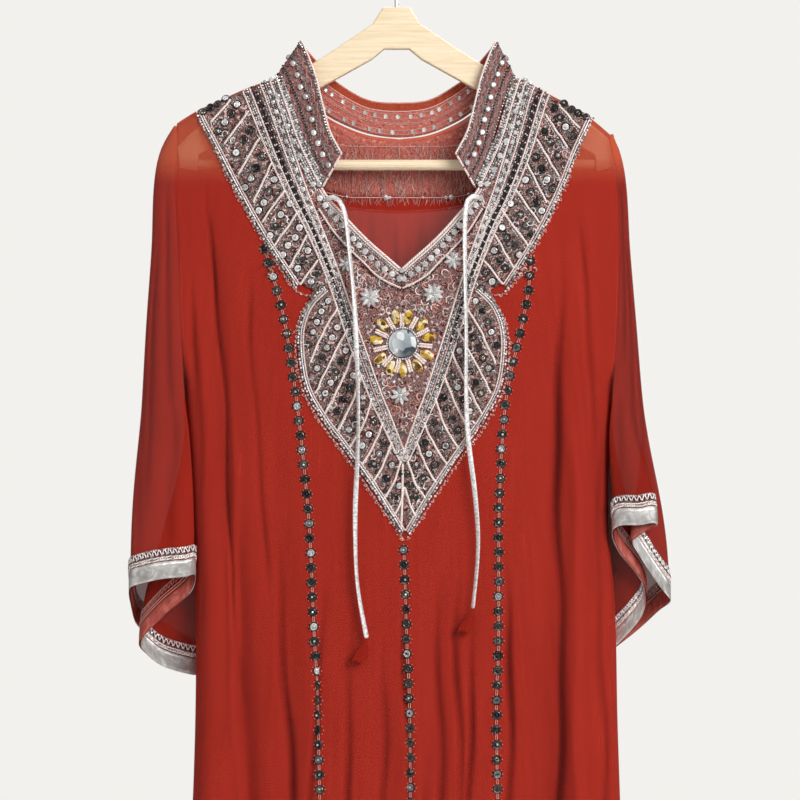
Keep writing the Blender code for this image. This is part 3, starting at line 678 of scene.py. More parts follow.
    def panel_point(self, across: float, down: float, face: Face) -> Vector:
        """A point of a body panel at shares of its width and of its length.

        Args:
            across: Share of the half width, from -1 to 1.
            down: Share of the length, from 0 to 1.
            face: Front or back.

        Returns:
            The point in mm.
        """
        reach = abs(across)
        top = self.panel_top(across, face)
        z = top + (self.hem_z - top) * down
        x = self.across_x(across, z)
        nose = smooth((self.armhole_z - z + self.armhole_blend) / self.armhole_blend)
        flat_reach = 1.0 - self.side_nose / self.half_top
        point = self.point(x, z, face)
        if reach > flat_reach and nose > 0.0:
            outward = math.copysign(1.0, across)
            turn = (reach - flat_reach) / (1.0 - flat_reach)
            angle = turn * TURNOVER
            x += outward * self.side_nose * (math.sin(angle) - turn) * nose
            flat_depth = self.point(self.body_edge(across, z) - outward * self.side_nose, z, face).y
            straight = self.point(x, z, face).y
            rounded = flat_depth * max(0.0, math.cos(angle)) ** self.nose_round
            point = Vector((x, straight + (rounded - straight) * nose, z))
        if abs(point.y) < self.seam_back:
            point.y = -self.touch * face.value
        return point

    def hem_point(self, table: Sequence[Hem], share: float) -> Vector:
        """A place on a cuff's hem, on a smooth closed curve.

        Args:
            table: The hem's rows.
            share: Share of the way round.

        Returns:
            The place in mm.
        """
        count = len(table)
        index = max(i for i, row in enumerate(table) if row.share <= share)
        rows = [table[(index + step) % count] for step in (-1, 0, 1, 2)]
        shares = [row.share for row in rows]
        if index == 0:
            shares[0] -= 1.0
        if index + 1 >= count:
            shares[2] += 1.0
        if index + 2 >= count:
            shares[3] += 1.0
        points = [Vector((row.x, row.y, row.z)) for row in rows]
        span = shares[2] - shares[1]
        local = (share - shares[1]) / span
        leave = (points[2] - points[0]) / (shares[2] - shares[0]) * span
        arrive = (points[3] - points[1]) / (shares[3] - shares[1]) * span
        return bent(points[1], leave, points[2], arrive, local)

    def sleeve_ring_point(self, hand: Hand, share: float, body_z: float, outer_z: float) -> Vector:
        """A place on a ring of a sleeve where it hangs beside the body.

        Args:
            hand: Left or right sleeve.
            share: Share of the way round, from the body over the front to the back.
            body_z: Height at the body.
            outer_z: Height at the outer fold.

        Returns:
            The place in mm.
        """
        body = self.body_edge(hand.value, body_z) + hand.value * self.armhole_seam
        outer = SLEEVE_EDGES.at(hand.word, outer_z)
        depth = self.half_depth(body, body_z, Face.FRONT, folded=False)
        eased = smooth((self.armhole_z - body_z) / self.sleeve_ease + self.sleeve_start)
        away = hand.value * self.sleeve_gap * eased
        outer_round, depth_round, droop = self.sleeve_rounds
        if share <= self.back_share:
            front = share <= self.outer_share
            if front:
                turn = share / self.outer_share
            else:
                turn = (self.back_share - share) / (self.back_share - self.outer_share)
            angle = turn * TURNOVER
            x = body + away * (1 - turn) + (outer - body) * math.sin(angle) ** outer_round
            y = depth * max(0.0, math.cos(angle)) ** depth_round * (-1 if front else 1)
            return Vector((x, y, body_z + (outer_z - body_z) * turn ** droop))
        turn = (share - self.back_share) / (1.0 - self.back_share)
        bulge = self.inner_bulge * math.sin(turn * math.pi) * hand.value
        return Vector((body + away + bulge, depth * (1 - 2 * turn), body_z))

    def collar_point(self, row: CollarLine, share: float, mirror: int) -> Vector:
        """A point between the neck seam and the collar's free edge.

        Args:
            row: The collar's line.
            share: Share of the way up.
            mirror: -1 on the left, 1 on the right.

        Returns:
            The point in mm.
        """
        seam_x = self.across_x(mirror * row.seam_reach / self.half_top, row.seam_z)
        face = Face.FRONT if row.side < 0 else Face.BACK
        seam = Vector((seam_x, row.side * self.half_depth(seam_x, row.seam_z, face, False), row.seam_z))
        free = Vector((self.neck_centre + mirror * row.free_reach, row.side * row.free_out, row.free_z))
        start = self.collar_seam / (free - seam).length
        return seam.lerp(free, start + (1 - start) * share)


FORM = HangingForm()


def deselect_all() -> None:
    """Deselect everything, because an operator acts on all that is selected."""
    for item in bpy.context.selected_objects:
        item.select_set(False)


def apply_modifiers(item: bpy.types.Object) -> None:
    """Apply an object's modifiers.

    Args:
        item: The object.
    """
    deselect_all()
    bpy.context.view_layer.objects.active = item
    item.select_set(True)
    for modifier in list(item.modifiers):
        bpy.ops.object.modifier_apply(modifier=modifier.name)
    item.select_set(False)


class MeshBank:
    """Collects points and faces of one piece, in mm, and makes its object."""

    def __init__(self) -> None:
        """Start with nothing."""
        self.points: list[np.ndarray] = []
        self.quads: list[np.ndarray] = []
        self.uvs: list[np.ndarray] = []
        self.tones: list[np.ndarray] = []
        self.count = 0

    def add(self, points: np.ndarray, faces: np.ndarray, uvs: np.ndarray | None = None,
            tone: float | np.ndarray = 0.5) -> None:
        """Add points and faces.

        Args:
            points: Places in mm, one row each.
            faces: Corner numbers, three or four in a row; a triangle has -1 last.
            uvs: A UV place for each point.
            tone: The share that the finish reads to vary its colour.
        """
        self.points.append(points)
        self.quads.append(np.where(faces >= 0, faces + self.count, -1))
        self.uvs.append(uvs if uvs is not None else np.zeros((len(points), 2)))
        self.tones.append(np.broadcast_to(np.asarray(tone, dtype=float), (len(points),)).copy())
        self.count += len(points)

    def build(self, name: str, material: bpy.types.Material, smooth_shade: bool = True,
              wall: float = 0.0) -> bpy.types.Object:
        """Make the object.

        Args:
            name: The piece's name.
            material: Its finish.
            smooth_shade: Whether the faces are shaded smooth.
            wall: Thickness of a shell in mm, or 0 for a closed piece.

        Returns:
            The object, at the origin.
        """
        points = np.concatenate(self.points) * MM
        rows = np.concatenate(self.quads)
        uvs = np.concatenate(self.uvs)
        tones = np.concatenate(self.tones)
        faces = [tuple(int(corner) for corner in row if corner >= 0) for row in rows]
        data = bpy.data.meshes.new(name)
        data.from_pydata(points.tolist(), [], faces)
        layer = data.uv_layers.new(name="cloth")
        corners = np.zeros(len(data.loops), dtype=np.int32)
        data.loops.foreach_get("vertex_index", corners)
        layer.data.foreach_set("uv", uvs[corners].ravel())
        tone = data.attributes.new("tone", "FLOAT", "POINT")
        tone.data.foreach_set("value", tones)
        data.polygons.foreach_set("use_smooth", [smooth_shade] * len(data.polygons))
        data.materials.append(material)
        item = bpy.data.objects.new(name, data)
        bpy.context.scene.collection.objects.link(item)
        if wall:
            solid = item.modifiers.new("wall", "SOLIDIFY")
            solid.thickness = wall * MM
            solid.offset = 0.0
            apply_modifiers(item)
        LOG.info("%s: %d faces", name, len(item.data.polygons))
        return item


def grid_sheet(rows: Sequence[Sequence[Vector]], closed: bool = False,
               skip: Callable[[int, int], bool] | None = None) -> tuple[np.ndarray, np.ndarray, np.ndarray]:
    """Faces between rows of points, with a UV map in metres along the cloth.

    Args:
        rows: Rows of points in mm.
        closed: Whether each row joins its own start.
        skip: Tells which faces are left out, by row and column.

    Returns:
        The points, the faces and the UV places.
    """
    places = np.array([[tuple(point) for point in row] for row in rows])
    down_count, across_count = places.shape[:2]
    across = np.zeros((down_count, across_count))
    across[:, 1:] = np.cumsum(np.linalg.norm(np.diff(places, axis=1), axis=2), axis=1)
    if not closed:
        across -= across[:, across_count // 2][:, None]
    down = np.zeros((down_count, across_count))
    down[1:, :] = np.cumsum(np.linalg.norm(np.diff(places, axis=0), axis=2), axis=0)
    uvs = np.stack([across, down], axis=2).reshape(-1, 2) * MM
    faces = []
    for row in range(down_count - 1):
        for column in range(across_count if closed else across_count - 1):
            if skip and skip(row, column):
                continue
            following = (column + 1) % across_count
            first = row * across_count
            second = first + across_count
            faces.append((first + column, first + following, second + following, second + column))
    return places.reshape(-1, 3), np.array(faces), uvs


def turned_outward(points: np.ndarray, faces: np.ndarray, outward: np.ndarray) -> np.ndarray:
    """Turn the faces over if most of them point inward.

    Args:
        points: Places in mm.
        faces: Corner numbers.
        outward: The outward direction, of each face or of all.

    Returns:
        The faces, turned where needed.
    """
    corners = points[faces]
    normals = np.cross(corners[:, 2] - corners[:, 0], corners[:, 3] - corners[:, 1])
    return faces if np.sum(normals * outward) >= 0 else faces[:, ::-1]


class NodeWork:
    """Adds nodes to a node tree, each with the sockets or the values that feed it."""

    def __init__(self, tree: bpy.types.NodeTree) -> None:
        """Take the tree to work in."""
        self.tree = tree

    def add(self, kind: str, feeds: dict[str | int, Feed], **options: str) -> bpy.types.Node:
        """Add a node.

        Args:
            kind: The node's type.
            feeds: What feeds its inputs, by name or number.
            **options: The node's own settings.

        Returns:
            The node.
        """
        node = self.tree.nodes.new(kind)
        for name, value in options.items():
            setattr(node, name, value)
        for name, value in feeds.items():
            self.feed(node.inputs[name], value)
        return node

    def feed(self, entry: Socket, value: Feed) -> None:
        """Link a socket to an input, or give the input a plain value.

        Args:
            entry: The input.
            value: The socket or value.
        """
        if isinstance(value, bpy.types.NodeSocket):
            self.tree.links.new(value, entry)
        else:
            entry.default_value = value

    def ramp(self, value: Socket, stops: Sequence[tuple[float, Colour]]) -> Socket:
        """Turn a value into a colour.

        Args:
            value: The socket to read.
            stops: Places and linear colours.

        Returns:
            The colour socket.
        """
        node = self.add("ShaderNodeValToRGB", {"Fac": value})
        points = node.color_ramp.elements
        while len(points) < len(stops):
            points.new(0.5)
        for element, (place, colour) in zip(points, stops):
            element.position = place
            element.color = (*colour, 1.0)
        return node.outputs["Color"]


class Recipe(NodeWork):
    """A material in the making, and the Principled shader that it ends in."""

    def __init__(self, name: str, roughness: float, metallic: float) -> None:
        """Start the material.

        Args:
            name: Its name.
            roughness: Its roughness all over.
            metallic: How metallic it is all over.
        """
        self.material = bpy.data.materials.new(name)
        self.material.use_nodes = True
        super().__init__(self.material.node_tree)
        self.shader = self.tree.nodes["Principled BSDF"]
        self.shader.inputs["Roughness"].default_value = roughness
        self.shader.inputs["Metallic"].default_value = metallic

    def place(self, kind: str = "Object", *stretch: float) -> Socket:
        """Coordinates in metres, stretched along an axis where a grain needs it.

        Args:
            kind: Object, or UV along the cloth.
            *stretch: Scale of the axes, 1 where it isn't given.

        Returns:
            The socket.
        """
        source = self.add("ShaderNodeTexCoord", {})
        scale = (*stretch, 1.0, 1.0, 1.0)[:3]
        mapping = self.add("ShaderNodeMapping", {"Scale": scale, "Vector": source.outputs[kind]})
        return mapping.outputs["Vector"]

    def noise(self, place: Socket, scale: float, **values: float) -> Socket:
        """A cloudy pattern from 0 to 1, with other inputs by name."""
        return self.add("ShaderNodeTexNoise", {"Scale": scale, "Vector": place, **values}).outputs["Fac"]

    def cells(self, place: Socket, scale: float, feature: str, output: str) -> Socket:
        """A pattern of cells.

        Args:
            place: Coordinates.
            scale: The pattern's scale.
            feature: What is measured in a cell.
            output: Distance or Color.

        Returns:
            The socket.
        """
        node = self.add("ShaderNodeTexVoronoi", {"Scale": scale, "Vector": place}, feature=feature)
        return node.outputs[output]

    def tone(self) -> Socket:
        """The share stored on each stitched piece."""
        return self.add("ShaderNodeAttribute", {}, attribute_name="tone").outputs["Fac"]

    def axis(self, name: str) -> Socket:
        """Place along one axis, in metres."""
        return self.add("ShaderNodeSeparateXYZ", {0: self.place()}).outputs[name]

    def weighted(self, value: Socket, weight: float, plus: Feed) -> Socket:
        """A value times its weight, plus another."""
        return self.add("ShaderNodeMath", {0: value, 1: weight, 2: plus}, operation="MULTIPLY_ADD").outputs[0]

    def spread(self, value: Socket, source: Pair, target: Pair = (0.0, 1.0)) -> Socket:
        """Stretch a value from one range to another."""
        ends = ("From Min", "From Max", "To Min", "To Max")
        feeds = {"Value": value, **dict(zip(ends, (*source, *target)))}
        return self.add("ShaderNodeMapRange", feeds).outputs["Result"]

    def blend(self, share: Feed, first: Feed, second: Feed, way: str = "MIX") -> Socket:
        """Blend two colours.

        Args:
            share: Share of the second.
            first: A socket or a colour with its cover.
            second: The same.
            way: The way of blending.

        Returns:
            The colour socket.
        """
        feeds = {"Factor": share, FIRST_COLOUR: first, SECOND_COLOUR: second}
        return self.add("ShaderNodeMix", feeds, data_type="RGBA", blend_type=way).outputs[BLENDED_COLOUR]

    def bump(self, height: Socket, strength: float, distance: float) -> None:
        """Let a height stand out on the surface.

        Args:
            height: The socket with the height.
            strength: How strongly it shows.
            distance: Its depth in metres.
        """
        node = self.add("ShaderNodeBump", {"Strength": strength, "Distance": distance, "Height": height})
        self.feed(self.shader.inputs["Normal"], node.outputs["Normal"])

    def done(self, colour: Feed, **values: Feed) -> bpy.types.Material:
        """Give the shader its colour and its last values.

        Args:
            colour: The colour all over, or its socket.
            **values: Other inputs, by name with underscores.

        Returns:
            The material.
        """
        self.feed(self.shader.inputs["Base Color"], colour)
        for name, value in values.items():
            self.feed(self.shader.inputs[name.replace("_", " ")], value)
        return self.material


@dataclass(frozen=True)
class Finish:
    """A procedural finish: its name and the values that are the same all over it."""

    name: str
    roughness: float = 0.5
    metallic: float = 0.0

    def start(self) -> Recipe:
        """Start the material."""
        return Recipe(self.name, self.roughness, self.metallic)


@dataclass(frozen=True)
class Chiffon(Finish):
    """Rust red crepe chiffon, a little sheer, with a soft crinkle in its weave, painted crease shade in its
    folds and painted light over the shoulders.
    """

    name: str = "rust_chiffon"
    roughness: float = 0.78
    cover: float = 0.66
    deep: Colour = (0.400, 0.0215, 0.0112)
    light: Colour = (0.475, 0.0290, 0.0150)
    # Painted crease shade: the colour the chiffon is multiplied towards in its folds and creases, partly the
    # denser look of layered cloth and partly painted shade.
    trough: Colour = (0.42, 0.30, 0.30)
    # Painted light: a lighter orange over the shoulders, for the lit pine that shows through the cloth there.
    shoulder: Colour = (0.60, 0.085, 0.032)
    shoulder_cover: float = 0.42
    shoulder_z: Pair = (-0.226, -0.200)

    def build(self) -> bpy.types.Material:
        """Make the chiffon."""
        work = self.start()
        slub = work.noise(work.place("UV", 60.0, 4.0), scale=3.2, Detail=2.0, Roughness=0.5)
        cloud = work.noise(work.place("UV"), scale=9.0, Detail=2.0)
        mottle = work.weighted(slub, 0.55, plus=work.weighted(cloud, 0.45, plus=0.0))
        colour = work.ramp(mottle, ((0.30, self.deep), (0.70, self.light)))
        # Painted crease shade: the stored tone, how far the cloth is drawn into a fold, darkens the colour
        # towards the trough colour.
        crease_shade = work.ramp(work.tone(), ((0.0, (1.0, 1.0, 1.0)), (1.0, self.trough)))
        rise = work.spread(work.axis("Z"), self.shoulder_z)
        # Painted light: above the shoulder heights the colour turns to the lighter orange.
        colour = work.blend(rise, colour, (*self.shoulder, 1.0))
        colour = work.blend(1.0, colour, crease_shade, "MULTIPLY")
        crepe = work.noise(work.place("UV", 1.0, 0.45), scale=1500.0, Detail=2.0)
        work.bump(crepe, strength=0.35, distance=0.0002)
        sheer = work.spread(rise, (0.0, 1.0), (self.cover, self.shoulder_cover))
        return work.done(colour, Alpha=sheer, Sheen_Weight=0.02, Specular_IOR_Level=0.06)


@dataclass(frozen=True)
class BeadedGround(Finish):
    """The yoke's ground: sheer red cloth covered with tangled pinkish, silver and dark thread."""

    name: str = "beaded_ground"
    roughness: float = 0.7
    dark: Colour = (0.028, 0.012, 0.011)
    red: Colour = (0.17, 0.024, 0.018)
    thread: Colour = (0.70, 0.44, 0.40)
    silver: Colour = (0.42, 0.37, 0.355)
    # The darker red-brown ground of the leaves.
    leaf_ground: Colour = (0.105, 0.036, 0.028)
    scale: float = 190.0

    def build(self) -> bpy.types.Material:
        """Make the ground."""
        work = self.start()
        warp = work.noise(work.place("UV"), self.scale, Detail=1.2, Distortion=1.1)
        field_colour = work.ramp(warp, (
            (0.28, self.dark), (0.37, self.red), (0.395, self.thread), (0.42, self.red), (0.47, self.dark),
            (0.495, self.silver), (0.52, self.dark), (0.56, self.red), (0.585, self.thread), (0.61, self.red),
            (0.66, self.dark), (0.69, self.silver), (0.72, self.dark),
        ))
        leaf_colour = work.ramp(warp, (
            (0.30, self.leaf_ground), (0.36, self.dark), (0.41, self.leaf_ground), (0.44, self.thread), (0.46, self.leaf_ground),
            (0.50, self.dark), (0.55, self.silver), (0.57, self.dark), (0.62, self.leaf_ground), (0.66, self.thread),
        ))
        tangle = work.cells(work.place("UV"), self.scale, "DISTANCE_TO_EDGE", "Distance")
        work.bump(tangle, strength=0.6, distance=0.0006)
        return work.done(work.blend(work.tone(), field_colour, leaf_colour), Specular_IOR_Level=0.12)


@dataclass(frozen=True)
class Thread(Finish):
    """Twisted thread whose lightness follows each piece's share."""

    name: str = "pink_cord"
    roughness: float = 0.6
    low: Colour = (0.26, 0.095, 0.080)
    middle: Colour = (0.62, 0.40, 0.37)
    high: Colour = (0.95, 0.83, 0.79)
    sheen: float = 0.04

    def build(self) -> bpy.types.Material:
        """Make the thread."""
        work = self.start()
        ply = work.noise(work.place(), scale=900.0, Detail=3.0)
        work.bump(ply, strength=0.5, distance=0.0002)
        shade = work.weighted(work.tone(), TONE_WEIGHT, plus=ply)
        colour = work.ramp(shade, ((0.55, self.low), (0.85, self.middle), (1.0, self.high)))
        return work.done(colour, Sheen_Weight=self.sheen)


@dataclass(frozen=True)
class Metal(Finish):
    """Polished or foiled metal: beads, foil sequins and metal thread."""

    name: str = "silver_bead"
    roughness: float = 0.24
    metallic: float = 1.0
    low: Colour = (0.13, 0.12, 0.12)
    high: Colour = (0.98, 0.96, 0.95)
    grain: float = 700.0
    shine: float = 0.5

    def build(self) -> bpy.types.Material:
        """Make the metal."""
        work = self.start()
        fleck = work.noise(work.place(), self.grain, Detail=2.0)
        work.bump(fleck, strength=0.25, distance=0.0001)
        shade = work.weighted(work.tone(), TONE_WEIGHT, plus=fleck)
        colour = work.ramp(shade, ((0.60, self.low), (1.0, self.high)))
        return work.done(colour, Specular_IOR_Level=self.shine)


@dataclass(frozen=True)
class CutGlass(Finish):
    """Faceted glass on foil, with painted reflections: its facets hold painted light and dark patches and
    glints, and a painted highlight can lie on its left side.
    """

    name: str = "amber_glass"
    roughness: float = 0.06
    metallic: float = 0.25
    dark: Colour = (0.10, 0.032, 0.002)
    low: Colour = (0.52, 0.25, 0.006)
    high: Colour = (0.95, 0.66, 0.06)
    painted_glint: Colour = (1.0, 0.93, 0.62)
    painted_highlight_x: tuple[float, ...] = ()
    scale: float = 260.0

    def build(self) -> bpy.types.Material:
        """Make the glass."""
        work = self.start()
        # Painted reflections: each facet takes a dark, amber, bright or glint colour.
        colour = work.ramp(work.cells(work.place(), self.scale, "F1", "Color"), (
            (0.26, self.dark), (0.37, self.low), (0.50, self.high), (0.60, self.low), (0.70, self.painted_glint),
        ))
        # Painted highlight: the left side turns to the glint colour, fading out towards the right.
        if self.painted_highlight_x:
            colour = work.blend(work.spread(work.axis("X"), self.painted_highlight_x), (*self.painted_glint, 1.0), colour)
        return work.done(colour, Coat_Weight=1.0, Coat_Roughness=0.03)


@dataclass(frozen=True)
class WovenRibbon(Finish):
    """Silver grey ribbed ribbon; the ribs run across it. Its cloudy lighter grey is painted sheen and its
    white glints are painted highlights.
    """

    name: str = "silver_ribbon"
    roughness: float = 0.3
    metallic: float = 0.5
    low: Colour = (0.36, 0.35, 0.34)
    high: Colour = (0.64, 0.62, 0.60)
    painted_glint: Colour = (0.98, 0.97, 0.96)
    rib: float = 1600.0
    cloud: float = 130.0

    def build(self) -> bpy.types.Material:
        """Make the ribbon."""
        work = self.start()
        feeds = {"Scale": self.rib, "Distortion": 0.6, "Vector": work.place("UV")}
        ribs = work.add("ShaderNodeTexWave", feeds, bands_direction="X").outputs["Fac"]
        work.bump(ribs, strength=0.3, distance=0.0001)
        cloud = work.noise(work.place("UV"), self.cloud, Detail=2.0, Distortion=0.8)
        shade = work.weighted(ribs, 0.3, plus=cloud)
        # Painted sheen and highlights: lighter grey where ribs and clouds add up, and the glint colour at the
        # lightest spots.
        stops = ((0.40, self.low), (0.72, self.high), (0.845, self.high), (0.86, self.painted_glint))
        return work.done(work.ramp(shade, stops))


@dataclass(frozen=True)
class Pine(Finish):
    """Pale waxed pine with a long grain."""

    name: str = "pale_pine"
    roughness: float = 0.42
    light: Colour = (0.93, 0.78, 0.56)
    dark: Colour = (0.80, 0.62, 0.39)

    def build(self) -> bpy.types.Material:
        """Make the pine."""
        work = self.start()
        grain = work.noise(work.place("Object", 4.0, 90.0, 90.0), scale=4.0, Detail=6.0, Roughness=0.65,
                           Distortion=0.4)
        work.bump(grain, strength=0.15, distance=0.0003)
        return work.done(work.ramp(grain, ((0.32, self.dark), (0.60, self.light))), Coat_Weight=0.15)


@dataclass(frozen=True)
class Steel(Finish):
    """Bright drawn wire."""

    name: str = "bright_steel"
    roughness: float = 0.2
    metallic: float = 1.0
    dark: Colour = (0.48, 0.49, 0.50)
    light: Colour = (0.70, 0.71, 0.72)

    def build(self) -> bpy.types.Material:
        """Make the steel."""
        work = self.start()
        drawn = work.noise(work.place("Object", 400.0, 400.0, 30.0), scale=3.0, Detail=3.0)
        work.bump(drawn, strength=0.1, distance=0.0001)
        return work.done(work.ramp(drawn, ((0.3, self.dark), (0.7, self.light))))


@dataclass(frozen=True)
class StudioPaper(Finish):
    """The pale floor of the studio."""

    name: str = "studio_paper"
    roughness: float = 0.9
    colour: Colour = (0.86, 0.85, 0.83)

    def build(self) -> bpy.types.Material:
        """Make the floor."""
        return self.start().done((*self.colour, 1.0))


class Wardrobe:
    """All the finishes of the piece, made once."""

    def __init__(self) -> None:
        """Build each finish."""
        self.chiffon = Chiffon().build()
        self.back_chiffon = Chiffon(name="rust_chiffon_back", cover=0.80, shoulder_cover=0.74).build()
        # Painted shade: each sleeve has a darker copy of the chiffon, the right one darkest.
        self.shaded_sleeves = {
            Hand.LEFT: Chiffon(name="rust_chiffon_left_painted_shade", deep=(0.355, 0.0190, 0.0100),
                               light=(0.425, 0.0255, 0.0132), shoulder_cover=0.60).build(),
            Hand.RIGHT: Chiffon(name="rust_chiffon_right_painted_shade", deep=(0.265, 0.0140, 0.0074),
                                light=(0.340, 0.0205, 0.0106), shoulder_cover=0.60).build(),
        }
        self.ground = BeadedGround().build()
        self.collar_ground = BeadedGround(
            name="collar_embroidery", dark=(0.10, 0.013, 0.010), red=(0.26, 0.026, 0.019),
            thread=(0.56, 0.38, 0.35), silver=(0.52, 0.48, 0.46), leaf_ground=(0.24, 0.026, 0.019),
        ).build()
        self.reverse = BeadedGround(
            name="embroidery_reverse", dark=(0.40, 0.045, 0.030), red=(0.54, 0.090, 0.065),
            thread=(0.82, 0.42, 0.34), silver=(0.66, 0.22, 0.17), scale=300.0,
        ).build()
        self.cord = Thread().build()
        self.red_cord = Thread(name="coral_cord", low=(0.48, 0.07, 0.035), high=(0.78, 0.27, 0.18)).build()
        self.reverse_thread = Thread(name="reverse_thread", low=(0.46, 0.15, 0.12),
                                     high=(0.84, 0.50, 0.43)).build()
        self.silver_cord = Metal(name="silver_cord", roughness=0.34, metallic=0.6, low=(0.12, 0.11, 0.11),
                                 high=(0.95, 0.93, 0.92)).build()
        self.silver = Metal(metallic=0.5, roughness=0.3, shine=0.8).build()
        self.black = Metal(name="jet_bead", roughness=0.16, metallic=0.0, low=(0.008, 0.008, 0.009),
                           high=(0.035, 0.033, 0.035), shine=0.3).build()
        self.smoke = Metal(name="smoke_sequin", roughness=0.2, metallic=0.85, low=(0.045, 0.040, 0.038),
                           high=(0.34, 0.28, 0.235)).build()
        self.crystal = Metal(name="clear_stone", roughness=0.16, metallic=0.45, low=(0.50, 0.49, 0.49),
                             high=(0.97, 0.96, 0.95), grain=1000.0, shine=0.9).build()
        # Both cut glasses carry painted reflections; the smoke glass also has a painted highlight on its left
        # side.
        self.amber = CutGlass().build()
        self.grey_stone = CutGlass(
            name="smoke_glass", metallic=0.3, dark=(0.06, 0.08, 0.10), low=(0.26, 0.32, 0.36),
            high=(0.50, 0.58, 0.63), painted_glint=(0.97, 0.98, 1.0), scale=120.0, painted_highlight_x=(-0.009, 0.007),
        ).build()
        self.ribbon = WovenRibbon().build()
        # The tube and the ribbon's reverse carry painted sheen and glints as well.
        self.tube = WovenRibbon(name="silver_tube", roughness=0.4, metallic=0.2, low=(0.30, 0.29, 0.28),
                                high=(0.90, 0.88, 0.87), rib=500.0, cloud=420.0).build()
        self.ribbon_back = WovenRibbon(
            name="ribbon_reverse", roughness=0.5, metallic=0.05, low=(0.27, 0.026, 0.018),
            high=(0.46, 0.085, 0.062), painted_glint=(0.62, 0.20, 0.15),
        ).build()
        self.pine = Pine().build()
        self.steel = Steel().build()
        self.paper = StudioPaper().build()


def smooth_route(points: Sequence[Vector], count: int) -> list[Vector]:
    """Evenly spaced points on a smooth curve.

    Args:
        points: Given points.
        count: How many points to give.

    Returns:
        The points of the curve.
    """
    fine = []
    last = len(points) - 1
    for index in range(last):
        four = [points[max(0, min(last, index + step))] for step in (-1, 0, 1, 2)]
        for step in range(12):
            t = step / 12
            fine.append(0.5 * (
                2 * four[1]
                + (four[2] - four[0]) * t
                + (2 * four[0] - 5 * four[1] + 4 * four[2] - four[3]) * t * t
                + (3 * four[1] - four[0] - 3 * four[2] + four[3]) * t ** 3
            ))
    fine.append(points[-1])
    return even_points(fine, count)


def even_points(fine: Sequence[Vector], count: int) -> list[Vector]:
    """Evenly spaced points along a line of points.

    Args:
        fine: The line.
        count: How many points to give.

    Returns:
        The points.
    """
    lengths = [0.0]
    for before, here in zip(fine, fine[1:]):
        lengths.append(lengths[-1] + (here - before).length)
    route = []
    for index in range(count):
        goal = lengths[-1] * index / max(1, count - 1)
        place = max(0, min(len(fine) - 2, bisect.bisect_right(lengths, goal + TINY) - 1))
        share = (goal - lengths[place]) / max(TINY, lengths[place + 1] - lengths[place])
        route.append(fine[place].lerp(fine[place + 1], share))
    return route


def spaced(course: Course, pitch: float) -> list[tuple[Vector, Vector]]:
    """Places about a pitch apart along a course, with the outward direction at each.

    Args:
        course: A line of points and its outward directions.
        pitch: Distance between places.

    Returns:
        The places and directions.
    """
    line, normals = course
    count = int(length_of(line) / pitch)
    return list(zip(even_points(line, count), even_points(normals, count)))


def length_of(points: Sequence[Vector]) -> float:
    """Length of a line of points."""
    return sum((after - before).length for before, after in zip(points, points[1:]))


class Section(Enum):
    """Cross-section of a couched or hanging cord."""

    TWISTED = "two plies that turn round each other"
    FLAT = "a flat tube"
    ROUND = "a plain round thread"


